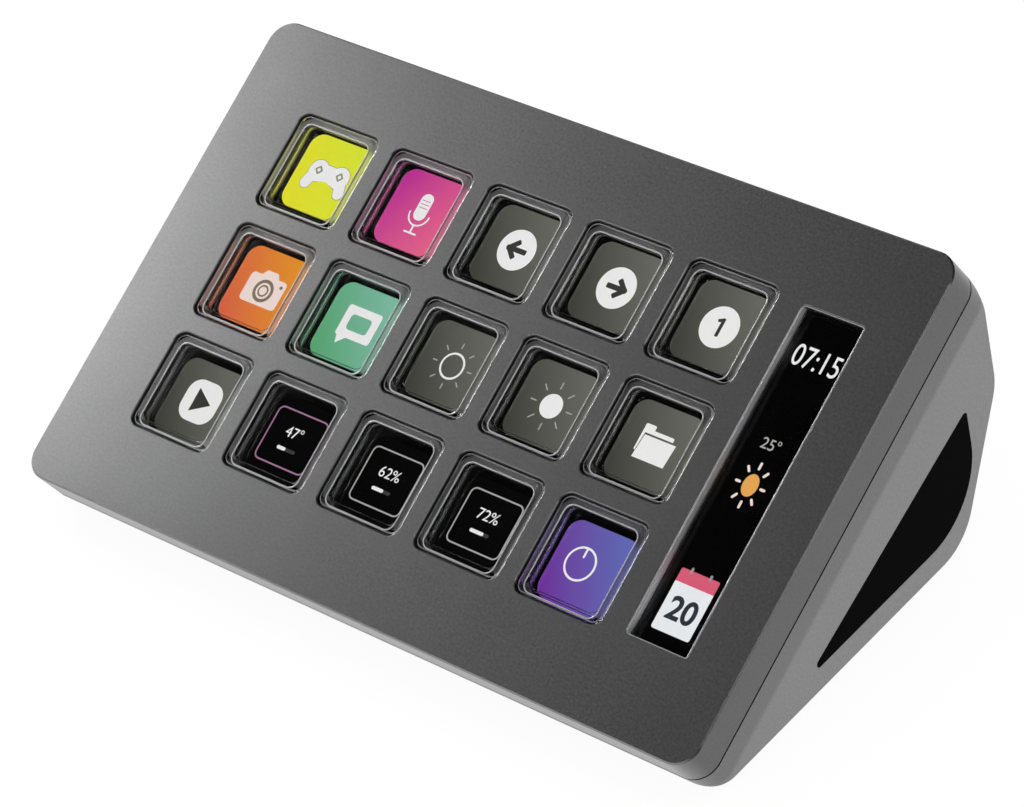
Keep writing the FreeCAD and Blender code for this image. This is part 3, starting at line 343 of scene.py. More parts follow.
def make_key_frame_group():
    """One on the frosted frame of a cap and nothing on its polished dish, and the cap's right side, where
    shade is painted.
    """
    group, given, output = new_group(
        "Key frame",
        [("Place", "Vector"), ("Dish Width", "Float"), ("Frame Width", "Float"),
         ("Corner Radius", "Float")],
        [("Frame", "Float"), ("Right Side", "Float")])
    from_middle = add_node(group, "ShaderNodeVectorMath", {
        0: given["Place"], 1: MIDDLE_KEY / MM}, operation="SUBTRACT")
    straight = math_node(
        group, "SUBTRACT", math_node(group, "MULTIPLY", given["Dish Width"], 0.5), given["Corner Radius"])
    past, within_key = [], []
    for part in split(group, from_middle.outputs[0])[:2]:
        within = add_node(group, "ShaderNodeMath", {
            0: part, 1: KEY_PITCH / MM / 2, 2: -KEY_PITCH / MM / 2}, operation="WRAP").outputs[0]
        within_key.append(within)
        reach = math_node(group, "ABSOLUTE", within)
        over = math_node(group, "MAXIMUM", math_node(group, "SUBTRACT", reach, straight), 0.0)
        past.append(math_node(group, "POWER", over, 2.0))
    edge = math_node(
        group, "SUBTRACT", math_node(group, "SQRT", math_node(group, "ADD", *past)),
        given["Corner Radius"])
    inner = rise(group, edge, -0.02, 0.02)
    rim = rise(group, math_node(group, "SUBTRACT", edge, given["Frame Width"]), -0.02, 0.02)
    above_front = rise(group, within_key[1], FRONT_LINE - 2 * SOFT_EDGE, FRONT_LINE)
    set_inputs(group, output, {
        "Frame": math_node(group, "MULTIPLY", math_node(group, "SUBTRACT", inner, rim), above_front),
        "Right Side": rise(group, within_key[0], SHADED_RIGHT_LINE, SHADED_RIGHT_LINE + 0.5)})
    return group


GROUP_MAKERS = {
    "Deck place": make_deck_place_group, "Fine grain": make_grain_group,
    "Pixel grid": make_pixel_group, "Key frame": make_key_frame_group}
GROUPS = {}


def use_group(tree, name, values=None):
    """What a shared group gives in a material. The group is made the first time it is asked for."""
    if name not in GROUPS:
        GROUPS[name] = GROUP_MAKERS[name]()
    return add_node(tree, "ShaderNodeGroup", values, node_tree=GROUPS[name]).outputs


def new_material(name):
    """A material, its tree, its shader and the deck's millimetres."""
    material = bpy.data.materials.new(name)
    material.use_nodes = True
    tree = material.node_tree
    return material, tree, tree.nodes["Principled BSDF"], use_group(tree, "Deck place")["Place"]


def grained(name, rgb, grain_size, contrast, roughness, spread, depth, constants=None):
    """A material of one substance with its own grain, both sizes of it in millimetres.

    With the material come its tree, its shader, what the grain gives, and the deck's millimetres.
    """
    material, tree, shader, place = new_material(name)
    grain = use_group(tree, "Fine grain", {
        "Place": place, "Grain Size": grain_size, "Color": opaque(rgb), "Contrast": contrast,
        "Roughness": roughness, "Roughness Spread": spread})
    bump = add_node(tree, "ShaderNodeBump", {"Height": grain["Height"], "Distance": depth * MM})
    set_inputs(tree, shader, {
        "Base Color": grain["Color"], "Roughness": grain["Roughness"], "Normal": bump.outputs["Normal"]})
    set_inputs(tree, shader, constants or {})
    return material, tree, shader, grain, place


def simple(*values):
    """A material that needs nothing more than its grain."""
    return grained(*values)[0]


# Materials of the CAD pieces


def make_case_material(finishes):
    """Satin metallic paint, with painted shade on the sides above the crease, a painted highlight on the
    left wall of the strip opening and painted shade on the walls of the key openings.
    """
    material, tree, shader, grain, place = grained(
        "satin_case", finishes.case_colour, finishes.grain_size / MM, 0.55, finishes.case_roughness,
        0.16, 0.004)
    x, y, level = split(tree, place)
    # Painted shade: near both ends, side-facing surfaces are darkened by the rim tone above the joint
    # line and by the crease tone between it and the crease.
    side = FACE_WIDTH / MM / 2 - SHADED_SIDE_BAND
    outer = rise(tree, math_node(tree, "ABSOLUTE", x), side - SOFT_EDGE, side)
    seam = -RIM_DEPTH / MM
    crease = -finishes.crease_depth / MM
    upper_side_shade = rise(tree, level, seam - 0.3, seam, finishes.crease_painted_shade, finishes.rim_painted_shade)
    below_crease = rise(tree, level, crease - 0.5, crease + 0.5, 1.0, 0.0)
    across = split(tree, add_node(tree, "ShaderNodeNewGeometry").outputs["Normal"])["X"]
    on_side = math_node(
        tree, "MULTIPLY", outer, rise(tree, math_node(tree, "ABSOLUTE", across), 0.3, 0.9))
    side_painted_shade = mix_values(tree, below_crease, upper_side_shade, 1.0)
    painted = toned(tree, grain["Color"], mix_values(tree, on_side, 1.0, side_painted_shade))

    # Painted highlight: the left wall of the strip opening is painted near white with no metal, where the
    # real wall only catches the light.
    near = distance(tree, x, (STRIP_MIDDLE.x - STRIP_HALF) / MM)
    wall_highlight = math_node(
        tree, "MULTIPLY", rise(tree, near, HIGHLIGHT_WALL_REACH + 0.1, HIGHLIGHT_WALL_REACH),
        rise(tree, across, 0.6, 0.9))
    # Painted shade: within the square of the keys, everything below the face is painted near black with
    # little metal, where the walls of the key openings lie in shade. This also darkens the back shell
    # within that square.
    key_wall_shade = rise(tree, level, SHADED_WALL_TOP, SHADED_WALL_TOP - 0.06)
    for part, middle, count in ((x, MIDDLE_KEY.x, KEY_COLUMNS), (y, MIDDLE_KEY.y, KEY_ROWS)):
        reach = KEY_PITCH / MM * count / 2
        within = rise(tree, distance(tree, part, middle / MM), reach, reach - 0.1)
        key_wall_shade = math_node(tree, "MULTIPLY", key_wall_shade, within)
    with_wall_highlight = mix_colours(tree, wall_highlight, painted, WALL_HIGHLIGHT_COLOUR)
    wall = math_node(tree, "MAXIMUM", wall_highlight, key_wall_shade)
    set_inputs(tree, shader, {
        "Base Color": mix_colours(tree, key_wall_shade, with_wall_highlight, WALL_SHADE_COLOUR),
        "Metallic": rise(tree, wall, 0.0, 1.0, finishes.case_metal, 0.1)})
    return material


def make_clear_material(name, finishes, constants=None):
    """Clear plastic with faint smears. It comes with the same nodes as a grained material."""
    return grained(
        name, finishes.key_colour, 6.0, 0.03, 0.02, 0.04, 0.0005,
        {"Transmission Weight": 1.0, "IOR": 1.49, **(constants or {})})


def make_cap_material(finishes):
    """Clear plastic with a polished dish and a frosted frame, whose right side is darker as painted
    shade.
    """
    material, tree, shader, grain, place = make_clear_material("clear_caps", finishes)
    masks = use_group(tree, "Key frame", {
        "Place": place, "Dish Width": DISH_WIDTH, "Frame Width": DISH_FRAME,
        "Corner Radius": DISH_CORNER})
    # Painted shade: the frame is made darker on the right side of each cap, where the real clear cap only
    # looks darker in the light.
    sides = mix_colours(
        tree, masks["Right Side"], opaque(finishes.frame_colour),
        opaque([part * RIGHT_SIDE_SHADE for part in finishes.frame_colour]))
    set_inputs(tree, shader, {
        "Roughness": mix_values(tree, masks["Frame"], grain["Roughness"], finishes.frost),
        "Base Color": mix_colours(tree, masks["Frame"], grain["Color"], sides)})
    return material


def make_clear_strip_material(finishes):
    """Clear polished plastic with an anti-glare coat and matt sawn sides."""
    material, tree, shader, grain, place = make_clear_material(
        "clear_strip", finishes, {"Specular IOR Level": 0.12})
    reach = distance(tree, split(tree, place)["X"], STRIP_MIDDLE.x / MM)
    sawn = rise(tree, reach, SAWN_SIDE, SAWN_SIDE + 0.04)
    set_inputs(tree, shader, {"Roughness": mix_values(tree, sawn, grain["Roughness"], 0.8)})
    return material


def make_board_material(name, mask_colour):
    """Solder mask with paler copper runs below it."""
    material, tree, shader, grain, place = grained(name, mask_colour, 0.4, 0.3, 0.35, 0.1, 0.004)
    runs = add_node(tree, "ShaderNodeTexVoronoi", {"Vector": place, "Scale": 0.35}, distance="MANHATTAN")
    edge = rise(tree, runs.outputs["Distance"], 0.42, 0.46)
    pale = opaque([part * 2.2 for part in mask_colour])
    set_inputs(tree, shader, {"Base Color": mix_colours(tree, edge, grain["Color"], pale)})
    return material


def make_ribbon_material():
    """Amber film with copper conductors along it."""
    material, tree, shader, grain, place = grained(
        "ribbon_film", (0.34, 0.13, 0.025), 0.5, 0.3, 0.32, 0.1, 0.003)
    stripes = add_node(tree, "ShaderNodeTexWave", {"Vector": place, "Scale": 0.32},
                       wave_type="BANDS", bands_direction="X")
    copper = rise(tree, stripes.outputs["Fac"], 0.55, 0.65)
    set_inputs(tree, shader, {
        "Base Color": mix_colours(tree, copper, grain["Color"], (0.5, 0.24, 0.08, 1))})
    return material


def finish_nodes(material, *names):
    """Give a material to every slot of these CAD nodes."""
    for name in names:
        for slot in frame["nodes"][name].material_slots:
            slot.material = material


# Drawing in the plane of the screen


def select_only(*pieces):
    """Leave edit mode and select these objects alone, the first one active."""
    if bpy.context.object is not None and bpy.context.object.mode != "OBJECT":
        bpy.ops.object.mode_set(mode="OBJECT")
    bpy.ops.object.select_all(action="DESELECT")
    for piece in pieces:
        piece.select_set(True)
    if pieces:
        bpy.context.view_layer.objects.active = pieces[0]


def join_shapes(shapes):
    """One object of several, with their places applied."""
    select_only(*shapes)
    bpy.ops.object.transform_apply()
    if len(shapes) > 1:
        bpy.ops.object.join()
    return bpy.context.object


def move_piece(piece, name, material, matrix):
    """Name a piece that was made in the deck frame, and move it to its place in the frame."""
    piece.name = piece.data.name = name
    if material is not None:
        piece.data.materials.clear()
        piece.data.materials.append(material)
    piece.matrix_world = matrix
    select_only(piece)
    bpy.ops.object.transform_apply()


def start_plane(middle, width, height):
    """A rectangle in edit mode, all of it selected."""
    select_only()
    bpy.ops.mesh.primitive_plane_add(size=1, location=middle)
    bpy.ops.object.mode_set(mode="EDIT")
    bpy.ops.transform.resize(value=(width, height, 1), center_override=middle)


def raise_faces(height):
    """Thicken the flat faces of the object in edit mode, and leave edit mode."""
    bpy.ops.mesh.select_all(action="SELECT")
    bpy.ops.mesh.extrude_region_move(TRANSFORM_OT_translate={"value": (0, 0, height)})
    bpy.ops.mesh.select_all(action="SELECT")
    bpy.ops.mesh.normals_make_consistent(inside=False)
    bpy.ops.object.mode_set(mode="OBJECT")


def make_bead_ring(low, high, level, radius, width):
    """A low rounded bead round a rectangle, in deck metres, with its crown just above a level."""
    start_plane(
        ((low[0] + high[0]) / 2, (low[1] + high[1]) / 2, level), high[0] - low[0], high[1] - low[1])
    bpy.ops.mesh.bevel(offset=radius, segments=8, affect="VERTICES")
    bpy.ops.mesh.inset(thickness=width)
    bpy.ops.mesh.delete(type="FACE")
    raise_faces(width * 0.4)
    ring = bpy.context.object
    rounding = ring.modifiers.new("Rounding", "BEVEL")
    rounding.width = width * 0.3
    rounding.segments = 2
    bpy.ops.object.modifier_apply(modifier=rounding.name)
    bpy.ops.object.transform_apply()
    return ring


class Picture:
    """A flat picture on the screen, drawn in layers from the glass upwards, in deck millimetres."""

    def __init__(self, name, x, y, layer, inks):
        self.name = name
        self.x = x
        self.y = y
        self.layer = layer
        self.inks = inks
        self.shapes = []

    def raise_shape(self, level, ink):
        """Thicken the outline in edit mode up to a level."""
        raise_faces(level * self.layer)
        shape = bpy.context.object
        shape.data.materials.clear()
        shape.data.materials.append(self.inks[ink])
        self.shapes.append(shape)

    def middle(self, x, y):
        return (self.x + x) * MM, (self.y + y) * MM, SCREEN_LEVEL

    def rounded(self, level, ink, x, y, width, height, radius, angle=0.0):
        middle = self.middle(x, y)
        start_plane(middle, width * MM, height * MM)
        if angle:
            bpy.ops.transform.rotate(
                value=-math.radians(angle), orient_axis="Z", center_override=middle)
        bpy.ops.mesh.bevel(offset=radius * MM, segments=8, affect="VERTICES")
        self.raise_shape(level, ink)

    def bar(self, level, ink, start, end, width, radius=None):
        """A stroke between two points, round ended unless a smaller radius is given."""
        dx, dy = end[0] - start[0], end[1] - start[1]
        angle = math.degrees(math.atan2(dy, dx))
        length = math.hypot(dx, dy) + width
        radius = width * 0.49 if radius is None else radius
        middle_x, middle_y = (start[0] + end[0]) / 2, (start[1] + end[1]) / 2
        self.rounded(level, ink, middle_x, middle_y, length, width, radius, angle)

    def disc(self, level, ink, x, y, radius, stretch=1.0, vertices=48):
        select_only()
        middle = self.middle(x, y)
        bpy.ops.mesh.primitive_circle_add(
            vertices=vertices, radius=radius * MM, fill_type="NGON", location=middle)
        bpy.ops.object.mode_set(mode="EDIT")
        bpy.ops.transform.resize(value=(1, stretch, 1), center_override=middle)
        self.raise_shape(level, ink)

    def ring(self, level, ink, inner, x, y, radius, width):
        self.disc(level, ink, x, y, radius)
        self.disc(level + 1, inner, x, y, radius - width)

    def outline(self, level, ink, inner, x, y, width, height, radius, line):
        self.rounded(level, ink, x, y, width, height, radius)
        self.rounded(
            level + 1, inner, x, y, width - 2 * line, height - 2 * line, max(radius - line, 0.05))

    def polygon(self, level, ink, points):
        """A shape with straight sides, made from a rectangle whose corners are moved."""
        start_plane(self.middle(0, 0), MM, MM)
        bpy.ops.object.mode_set(mode="OBJECT")
        shape = bpy.context.object
        corners = list(points) + [points[-1]] * (4 - len(points))
        order = (0, 1, 3, 2)
        for vertex, place in zip(order, corners):
            shape.data.vertices[vertex].co = (place[0] * MM, place[1] * MM, 0)
        bpy.ops.object.mode_set(mode="EDIT")
        bpy.ops.mesh.select_all(action="SELECT")
        bpy.ops.mesh.remove_doubles(threshold=0.001 * MM)
        self.raise_shape(level, ink)

    def words(self, level, ink, text, x, y, height, stretch=1.0, weight=0.0):
        """Plain figures of a height, centred on a point, drawn wider and heavier where asked."""
        select_only()
        bpy.ops.object.text_add(location=self.middle(x, y))
        letters = bpy.context.object
        letters.data.body = text
        letters.data.align_x = "CENTER"
        letters.data.align_y = "CENTER"
        letters.data.size = height / 0.73 * MM
        letters.data.offset = weight * MM
        bpy.ops.object.convert(target="MESH")
        bpy.ops.object.mode_set(mode="EDIT")
        bpy.ops.mesh.select_all(action="SELECT")
        bpy.ops.transform.resize(value=(stretch, 1, 1), center_override=self.middle(x, y))
        self.raise_shape(level, ink)

    def finish(self):
        """Join the shapes into one piece that rides with the case."""
        piece = join_shapes(self.shapes)
        move_piece(piece, self.name, None, DECK)
        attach(piece, "case")


def lit_material(name, low, high, brightness, direction=(0.05, 0.05), middle=(0.0, 0.0)):
    """A lit part of the screen whose colour runs from low to high along a direction on the face."""
    material, tree, shader, place = new_material(name)
    factor = 0.5
    for part, start, slope in zip(split(tree, place), middle, direction):
        way = math_node(tree, "MULTIPLY", math_node(tree, "SUBTRACT", part, start), slope)
        factor = math_node(tree, "ADD", way, factor)
    run = mix_colours(tree, factor, opaque(low), opaque(high))
    pixels = use_group(tree, "Pixel grid", {"Place": place, "Color": run, "Pitch": PIXEL_PITCH})
    set_inputs(tree, shader, {
        "Base Color": tinted(tree, run, (0.1, 0.1, 0.1, 1)), "Roughness": 0.5,
        "Specular IOR Level": 0.0, "Emission Color": pixels["Color"], "Emission Strength": brightness})
    return material


# Colours of a tile at its bottom left and its top right. The magenta one runs from its top left corner.
TILE_COLOURS = {
    "yellow": ((0.84, 0.80, 0.03), (0.72, 0.84, 0.045)),
    "magenta": ((0.52, 0.03, 0.30), (0.88, 0.15, 0.27)),
    "orange": ((0.74, 0.13, 0.065), (0.84, 0.33, 0.02)),
    "green": ((0.10, 0.40, 0.17), (0.24, 0.54, 0.42)),
    "violet": ((0.17, 0.03, 0.34), (0.13, 0.17, 0.52)),
    "grey": ((0.050, 0.052, 0.040), (0.16, 0.165, 0.14)),
    "black": ((0.001, 0.001, 0.001), (0.002, 0.002, 0.002)),
}


def draw_gamepad(picture):
    """Controller with round shoulders, two flared grips and two sets of buttons."""
    for level, ink, grow in ((2, "line", 0.2), (3, "paper", 0.0)):
        picture.rounded(level, ink, 0, 0.45, 6.6 + grow, 3.0 + grow, 1.1)
        for side in (-1, 1):
            picture.disc(level, ink, 2.2 * side, 0.6, 1.85 + grow / 2)
            picture.bar(level, ink, (2.75 * side, 0.2), (3.45 * side, -1.75), 2.0 + grow)
    picture.disc(4, "tile", 0, -3.1, 2.35)
    for x in (-2.15, 2.15):
        picture.rounded(4, "line", x, 0.75, 1.15, 1.15, 0.15, 45)
        picture.rounded(5, "paper", x, 0.75, 0.55, 0.55, 0.1, 45)


def draw_microphone(picture):
    """Capsule with a grille, held in a bow over its stand."""
    picture.disc(2, "paper", 0, -0.15, 2.05)
    picture.disc(3, "tile", 0, -0.15, 1.78)
    picture.rounded(4, "tile", 0, 1.15, 4.6, 2.5, 0.05)
    picture.rounded(5, "paper", 0, 1.05, 2.3, 4.5, 1.1)
    for y in (0.9, 1.5, 2.1):
        picture.bar(6, "tile", (-0.75, y), (0.75, y), 0.12, 0.02)
    picture.bar(5, "paper", (0, -2.2), (0, -3.3), 0.28, 0.05)
    picture.bar(5, "paper", (-1.1, -3.4), (1.1, -3.4), 0.28)


def draw_arrow(picture, direction):
    picture.disc(2, "paper", 0, 0, 3.35)
    tip, tail = (1.5 * direction, 0), (-1.4 * direction, 0)
    picture.bar(3, "dark", tail, tip, 0.85, 0.2)
    for side in (-1, 1):
        picture.bar(3, "dark", (0.25 * direction, 1.15 * side), tip, 0.85, 0.2)


def draw_one(picture):
    picture.disc(2, "paper", 0, 0, 3.3)
    picture.bar(3, "dark", (0.15, -1.2), (0.15, 1.2), 0.58, 0.1)
    picture.bar(3, "dark", (0.15, 1.2), (-0.5, 0.95), 0.5, 0.1)


def draw_camera(picture):
    """Body, finder, lens and a small lamp."""
    picture.rounded(2, "blush", 0, -0.2, 7.4, 4.9, 0.7)
    picture.polygon(2, "blush", [(-1.9, 2.1), (1.9, 2.1), (1.1, 3.15), (-1.1, 3.15)])
    picture.disc(3, "lens", 0, -0.2, 1.9)
    picture.disc(4, "blush", 0, -0.2, 1.35)
    picture.disc(5, "lens", 0, -0.2, 1.0)
    picture.disc(6, "blush", 0, -0.2, 0.7)
    picture.disc(3, "lens", 2.85, 1.25, 0.3, vertices=16)


def draw_speech(picture):
    picture.rounded(2, "paper", 0.2, 0.5, 6.8, 5.2, 0.5)
    picture.rounded(3, "tile", 0.2, 0.5, 4.1, 2.6, 0.6)
    picture.polygon(2, "paper", [(-2.3, -3.4), (-0.8, -2.0), (-2.9, -1.6)])


def draw_rays(picture, ink, inner, outer, width, stretch=1.0):
    for step in range(8):
        angle = math.radians(45 * step)
        way = math.cos(angle), stretch * math.sin(angle)
        picture.bar(
            2, ink, (inner * way[0], inner * way[1]), (outer * way[0], outer * way[1]), width)


def draw_open_sun(picture):
    picture.ring(2, "paper", "tile", 0, 0, 2.2, 0.34)
    draw_rays(picture, "ray", 3.0, 3.75, 0.2)


def draw_full_sun(picture):
    picture.disc(2, "paper", 0, 0, 1.95)
    draw_rays(picture, "ray", 2.9, 3.9, 0.2)


def draw_folder(picture):
    """Back leaf with its tab, and a front leaf that leans."""
    picture.rounded(2, "paper", -2.1, 2.6, 1.9, 0.9, 0.25)
    picture.rounded(2, "paper", -0.25, 0.5, 5.6, 3.6, 0.25)
    picture.polygon(3, "tile", [(-2.85, -2.3), (3.3, -2.3), (3.55, 1.65), (-2.55, 1.65)])
    picture.polygon(4, "paper", [(-2.75, -2.35), (3.1, -2.35), (3.35, 1.35), (-2.4, 1.35)])


def draw_play(picture):
    picture.rounded(2, "paper", 0.1, 0.2, 7.0, 6.9, 2.4)
    picture.polygon(3, "dark", [(-1.3, -1.8), (2.1, 0.2), (-1.3, 2.2)])


def draw_gauge(picture, figures, edge, level_share):
    """Figures over a small level bar in a thin frame."""
    picture.outline(2, edge, "tile", -0.25, 0.25, 10.2, 9.1, 1.1, 0.24)
    picture.words(4, "paper", figures, -0.3, 1.3, 1.8)
    picture.rounded(4, "dim", -0.3, -1.4, 3.6, 0.55, 0.25)
    length = 3.6 * level_share
    picture.rounded(5, "paper", -2.1 + length / 2, -1.4, length, 0.55, 0.25)


def draw_dial(picture):
    """A plain ring with a short mark at its top."""
    picture.ring(2, "paper", "tile", -1.5, 0.3, 2.7, 0.34)
    picture.bar(4, "paper", (-1.5, 1.4), (-1.5, 2.6), 0.34)


# Row by row, the colour of a key's tile and how its picture is drawn
KEY_PICTURES = (
    (("yellow", draw_gamepad), ("magenta", draw_microphone), ("grey", draw_arrow, -1),
     ("grey", draw_arrow, 1), ("grey", draw_one)),
    (("orange", draw_camera), ("green", draw_speech), ("grey", draw_open_sun),
     ("grey", draw_full_sun), ("grey", draw_folder)),
    (("grey", draw_play), ("black", draw_gauge, "47°", "rose", 0.47),
     ("black", draw_gauge, "62%", "pale", 0.62), ("black", draw_gauge, "72%", "pale", 0.72),
     ("violet", draw_dial)),
)
INK_COLOURS = {
    "paper": (0.92, 0.92, 0.90), "dark": (0.045, 0.047, 0.04), "line": (0.30, 0.31, 0.20),
    "blush": (0.95, 0.78, 0.71), "lens": (0.24, 0.19, 0.13), "dim": (0.05, 0.05, 0.05),
    "rose": (0.42, 0.20, 0.34), "pale": (0.45, 0.44, 0.42), "amber": (0.86, 0.42, 0.10),
    "red": (0.75, 0.12, 0.20), "figure": (0.03, 0.04, 0.05), "page": (0.90, 0.92, 0.93),
    "ray": (0.42, 0.42, 0.40), "steel": (0.35, 0.33, 0.34),
}
INKS = {}


def lit_inks(brightness):
    """Plain lit colours that the pictures share, made once."""
    for name, rgb in INK_COLOURS.items():
        if name not in INKS:
            INKS[name] = lit_material(f"lit_{name}", [part * 0.97 for part in rgb], rgb, brightness)
    return INKS


# The operators


class KEYPAD_OT_finish_shells(bpy.types.Operator):
    """Paint both shells and finish the inserts in their sides"""
    bl_idname = "keypad.finish_shells"
    bl_label = "Finish Shells"

    def execute(self, context):
        finishes = context.scene.keypad_finishes
        finish_nodes(make_case_material(finishes), "front_shell", "back_shell")
        panel = simple(
            "black_panel", finishes.panel_colour, 0.5, 0.5, 0.72, 0.2, 0.02, {"Specular IOR Level": 0.02})
        finish_nodes(panel, "side_panel_right", "side_panel_left")
        return {"FINISHED"}


class KEYPAD_OT_finish_keys(bpy.types.Operator):
    """Make the key caps and the strip window clear"""
    bl_idname = "keypad.finish_keys"
    bl_label = "Finish Keys"

    def execute(self, context):
        finishes = context.scene.keypad_finishes
        finish_nodes(
            make_cap_material(finishes), *(f"key_r{row}c{column}" for row, column in KEY_MIDDLES))
        finish_nodes(make_clear_strip_material(finishes), "strip_window")
        return {"FINISHED"}


class KEYPAD_OT_add_cap_edges(bpy.types.Operator):
    """Add near-white beads along the outer edge and the dish of every cap, painted highlight lines that
    the lamps light as well
    """
    bl_idname = "keypad.add_cap_edges"
    bl_label = "Add Cap Edges"

    def execute(self, context):
        # Painted highlight: near-white beads stand for the bright lines that the lamps draw on the clear
        # caps' edges, and the lamps light the beads as well.
        bead = simple(
            "cap_edges", context.scene.keypad_finishes.highlight_bead_colour, 0.3, 0.3, 0.25, 0.15, 0.002,
            {"Coat Weight": 0.6})
        outer, inner, front = (
            KEY_CAP_WIDTH / 2 - inset
            for inset in (OUTER_BEAD_INSET, INNER_BEAD_INSET, FRONT_BEAD_INSET))
        x, y, top = MIDDLE_KEY.x, MIDDLE_KEY.y, key_high.z
        rings = [
            make_bead_ring((x - outer, y - outer), (x + outer, y + outer), top, 1.5 * MM, 0.09 * MM),
            make_bead_ring((x - inner, y - front), (x + inner, y + inner), top, 1.6 * MM, 0.24 * MM)]
        model = join_shapes(rings)
        for (row, column), middle in KEY_MIDDLES.items():
            piece = model.copy()
            piece.data = model.data.copy()
            bpy.context.collection.objects.link(piece)
            move_piece(
                piece, f"cap_edges_r{row}c{column}", bead, DECK @ Matrix.Translation(middle - MIDDLE_KEY))
            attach(piece, f"key_r{row}c{column}")
        bpy.data.objects.remove(model)
        return {"FINISHED"}


class KEYPAD_OT_add_strip_edge(bpy.types.Operator):
    """Add a near-white bead round the opening of the strip display, a painted highlight that the lamps
    light as well
    """
    bl_idname = "keypad.add_strip_edge"
    bl_label = "Add Strip Edge"

    def execute(self, context):
        # Painted highlight: a near-white bead round the strip opening stands for its edges catching the
        # light, and the lamps light it as well.
        strip_highlight = simple(
            "cut_edge", context.scene.keypad_finishes.highlight_bead_colour, 0.3, 0.3, 0.3, 0.15, 0.002,
            {"Metallic": 0.3})
        inset = STRIP_FLANGE - STRIP_GAP + STRIP_BEAD_OVERLAP
        piece = make_bead_ring(
            (strip_low.x + inset, strip_low.y + inset), (strip_high.x - inset, strip_high.y - inset),
            STRIP_BEAD_LEVEL, 0.5 * MM, 0.16 * MM)
        move_piece(piece, "strip_edge", strip_highlight, DECK)
        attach(piece, "case")
        return {"FINISHED"}


# Hidden pieces: material, colour, grain, contrast, roughness, its spread, height of the grain, nodes

INSIDE_FINISHES = (
    ("black_guide", (0.01, 0.01, 0.01), 0.4, 0.4, 0.6, 0.15, 0.01, ("key_guide",)),
    ("tray_plastic", (0.03, 0.03, 0.032), 0.5, 0.3, 0.5, 0.15, 0.01, ("display_tray",)),
    ("light_unit", (0.7, 0.7, 0.69), 2.0, 0.08, 0.4, 0.1, 0.005, ("backlight",)),
    ("ivory_plastic", (0.5, 0.47, 0.4), 0.4, 0.15, 0.45, 0.1, 0.005,
     ("display_connector", "contact_connector")),
    ("chip_resin", (0.014, 0.014, 0.015), 0.3, 0.5, 0.5, 0.2, 0.006, ("processor_chip", "memory_chip")),
)


class KEYPAD_OT_finish_inside(bpy.types.Operator):
    """Finish what lies behind the face and on the main board"""
    bl_idname = "keypad.finish_inside"
    bl_label = "Finish Inside"

    def execute(self, context):
        finishes = context.scene.keypad_finishes
        for name, rgb, *grain, nodes in INSIDE_FINISHES:
            finish_nodes(simple(name, rgb, *grain), *nodes)
        finish_nodes(
            simple("milky_silicone", finishes.sheet_colour, 0.8, 0.1, 0.5, 0.1, 0.005), "dome_sheet")
        glass = simple(
            "screen_glass", (0.0012, 0.0012, 0.0014), 0.6, 0.4, 0.25, 0.1, 0.0005,
            {"Specular IOR Level": 0.1})
        finish_nodes(glass, "display_glass")
        finish_nodes(make_board_material("black_board", (0.004, 0.004, 0.004)), "contact_board")
        finish_nodes(make_board_material("green_board", finishes.board_colour), "main_board")
        finish_nodes(make_ribbon_material(), "display_ribbon", "contact_ribbon")
        steel = simple(
            "plated_steel", finishes.steel_colour, 0.2, 0.2, 0.28, 0.15, 0.002, {"Metallic": 1.0})
        finish_nodes(steel, "tray_screws", "shell_screws", "board_screws", "usb_socket")
        return {"FINISHED"}


class KEYPAD_OT_finish_feet(bpy.types.Operator):
    """Finish the four rubber feet"""
    bl_idname = "keypad.finish_feet"
    bl_label = "Finish Feet"

    def execute(self, context):
        rubber = simple(
            "foot_rubber", context.scene.keypad_finishes.rubber_colour, 0.4, 0.5, 0.8, 0.15, 0.03,
            {"Specular IOR Level": 0.3})
        finish_nodes(
            rubber, "foot_front_left", "foot_front_right", "foot_back_left", "foot_back_right")
        return {"FINISHED"}


class KEYPAD_OT_draw_tiles(bpy.types.Operator):
    """Draw the picture under every key"""
    bl_idname = "keypad.draw_tiles"
    bl_label = "Draw Key Pictures"

    def execute(self, context):
        pictures = context.scene.keypad_pictures
        inks = lit_inks(pictures.brightness)
        size, radius = pictures.tile_size / MM, pictures.tile_corner / MM
        for row, column in KEY_MIDDLES:
            tint, draw, *extra = KEY_PICTURES[row - 1][column - 1]
            x = (MIDDLE_KEY.x + pictures.shift_across + (column - 3) * pictures.pitch_across) / MM
            y = (MIDDLE_KEY.y - pictures.shift_down - (row - 2) * pictures.pitch_down) / MM
            low, high = TILE_COLOURS[tint]
            tile = lit_material(
                f"lit_{tint}_r{row}c{column}", low, high, pictures.brightness,
                direction=(SLOPE_ACROSS, -SLOPE_UP if tint == "magenta" else SLOPE_UP), middle=(x, y))
            picture = Picture(
                f"picture_r{row}c{column}", x, y, pictures.layer, {**inks, "tile": tile})
            picture.rounded(1, "tile", 0, 0, size, size, radius)
            draw(picture, *extra)
            picture.finish()
        return {"FINISHED"}


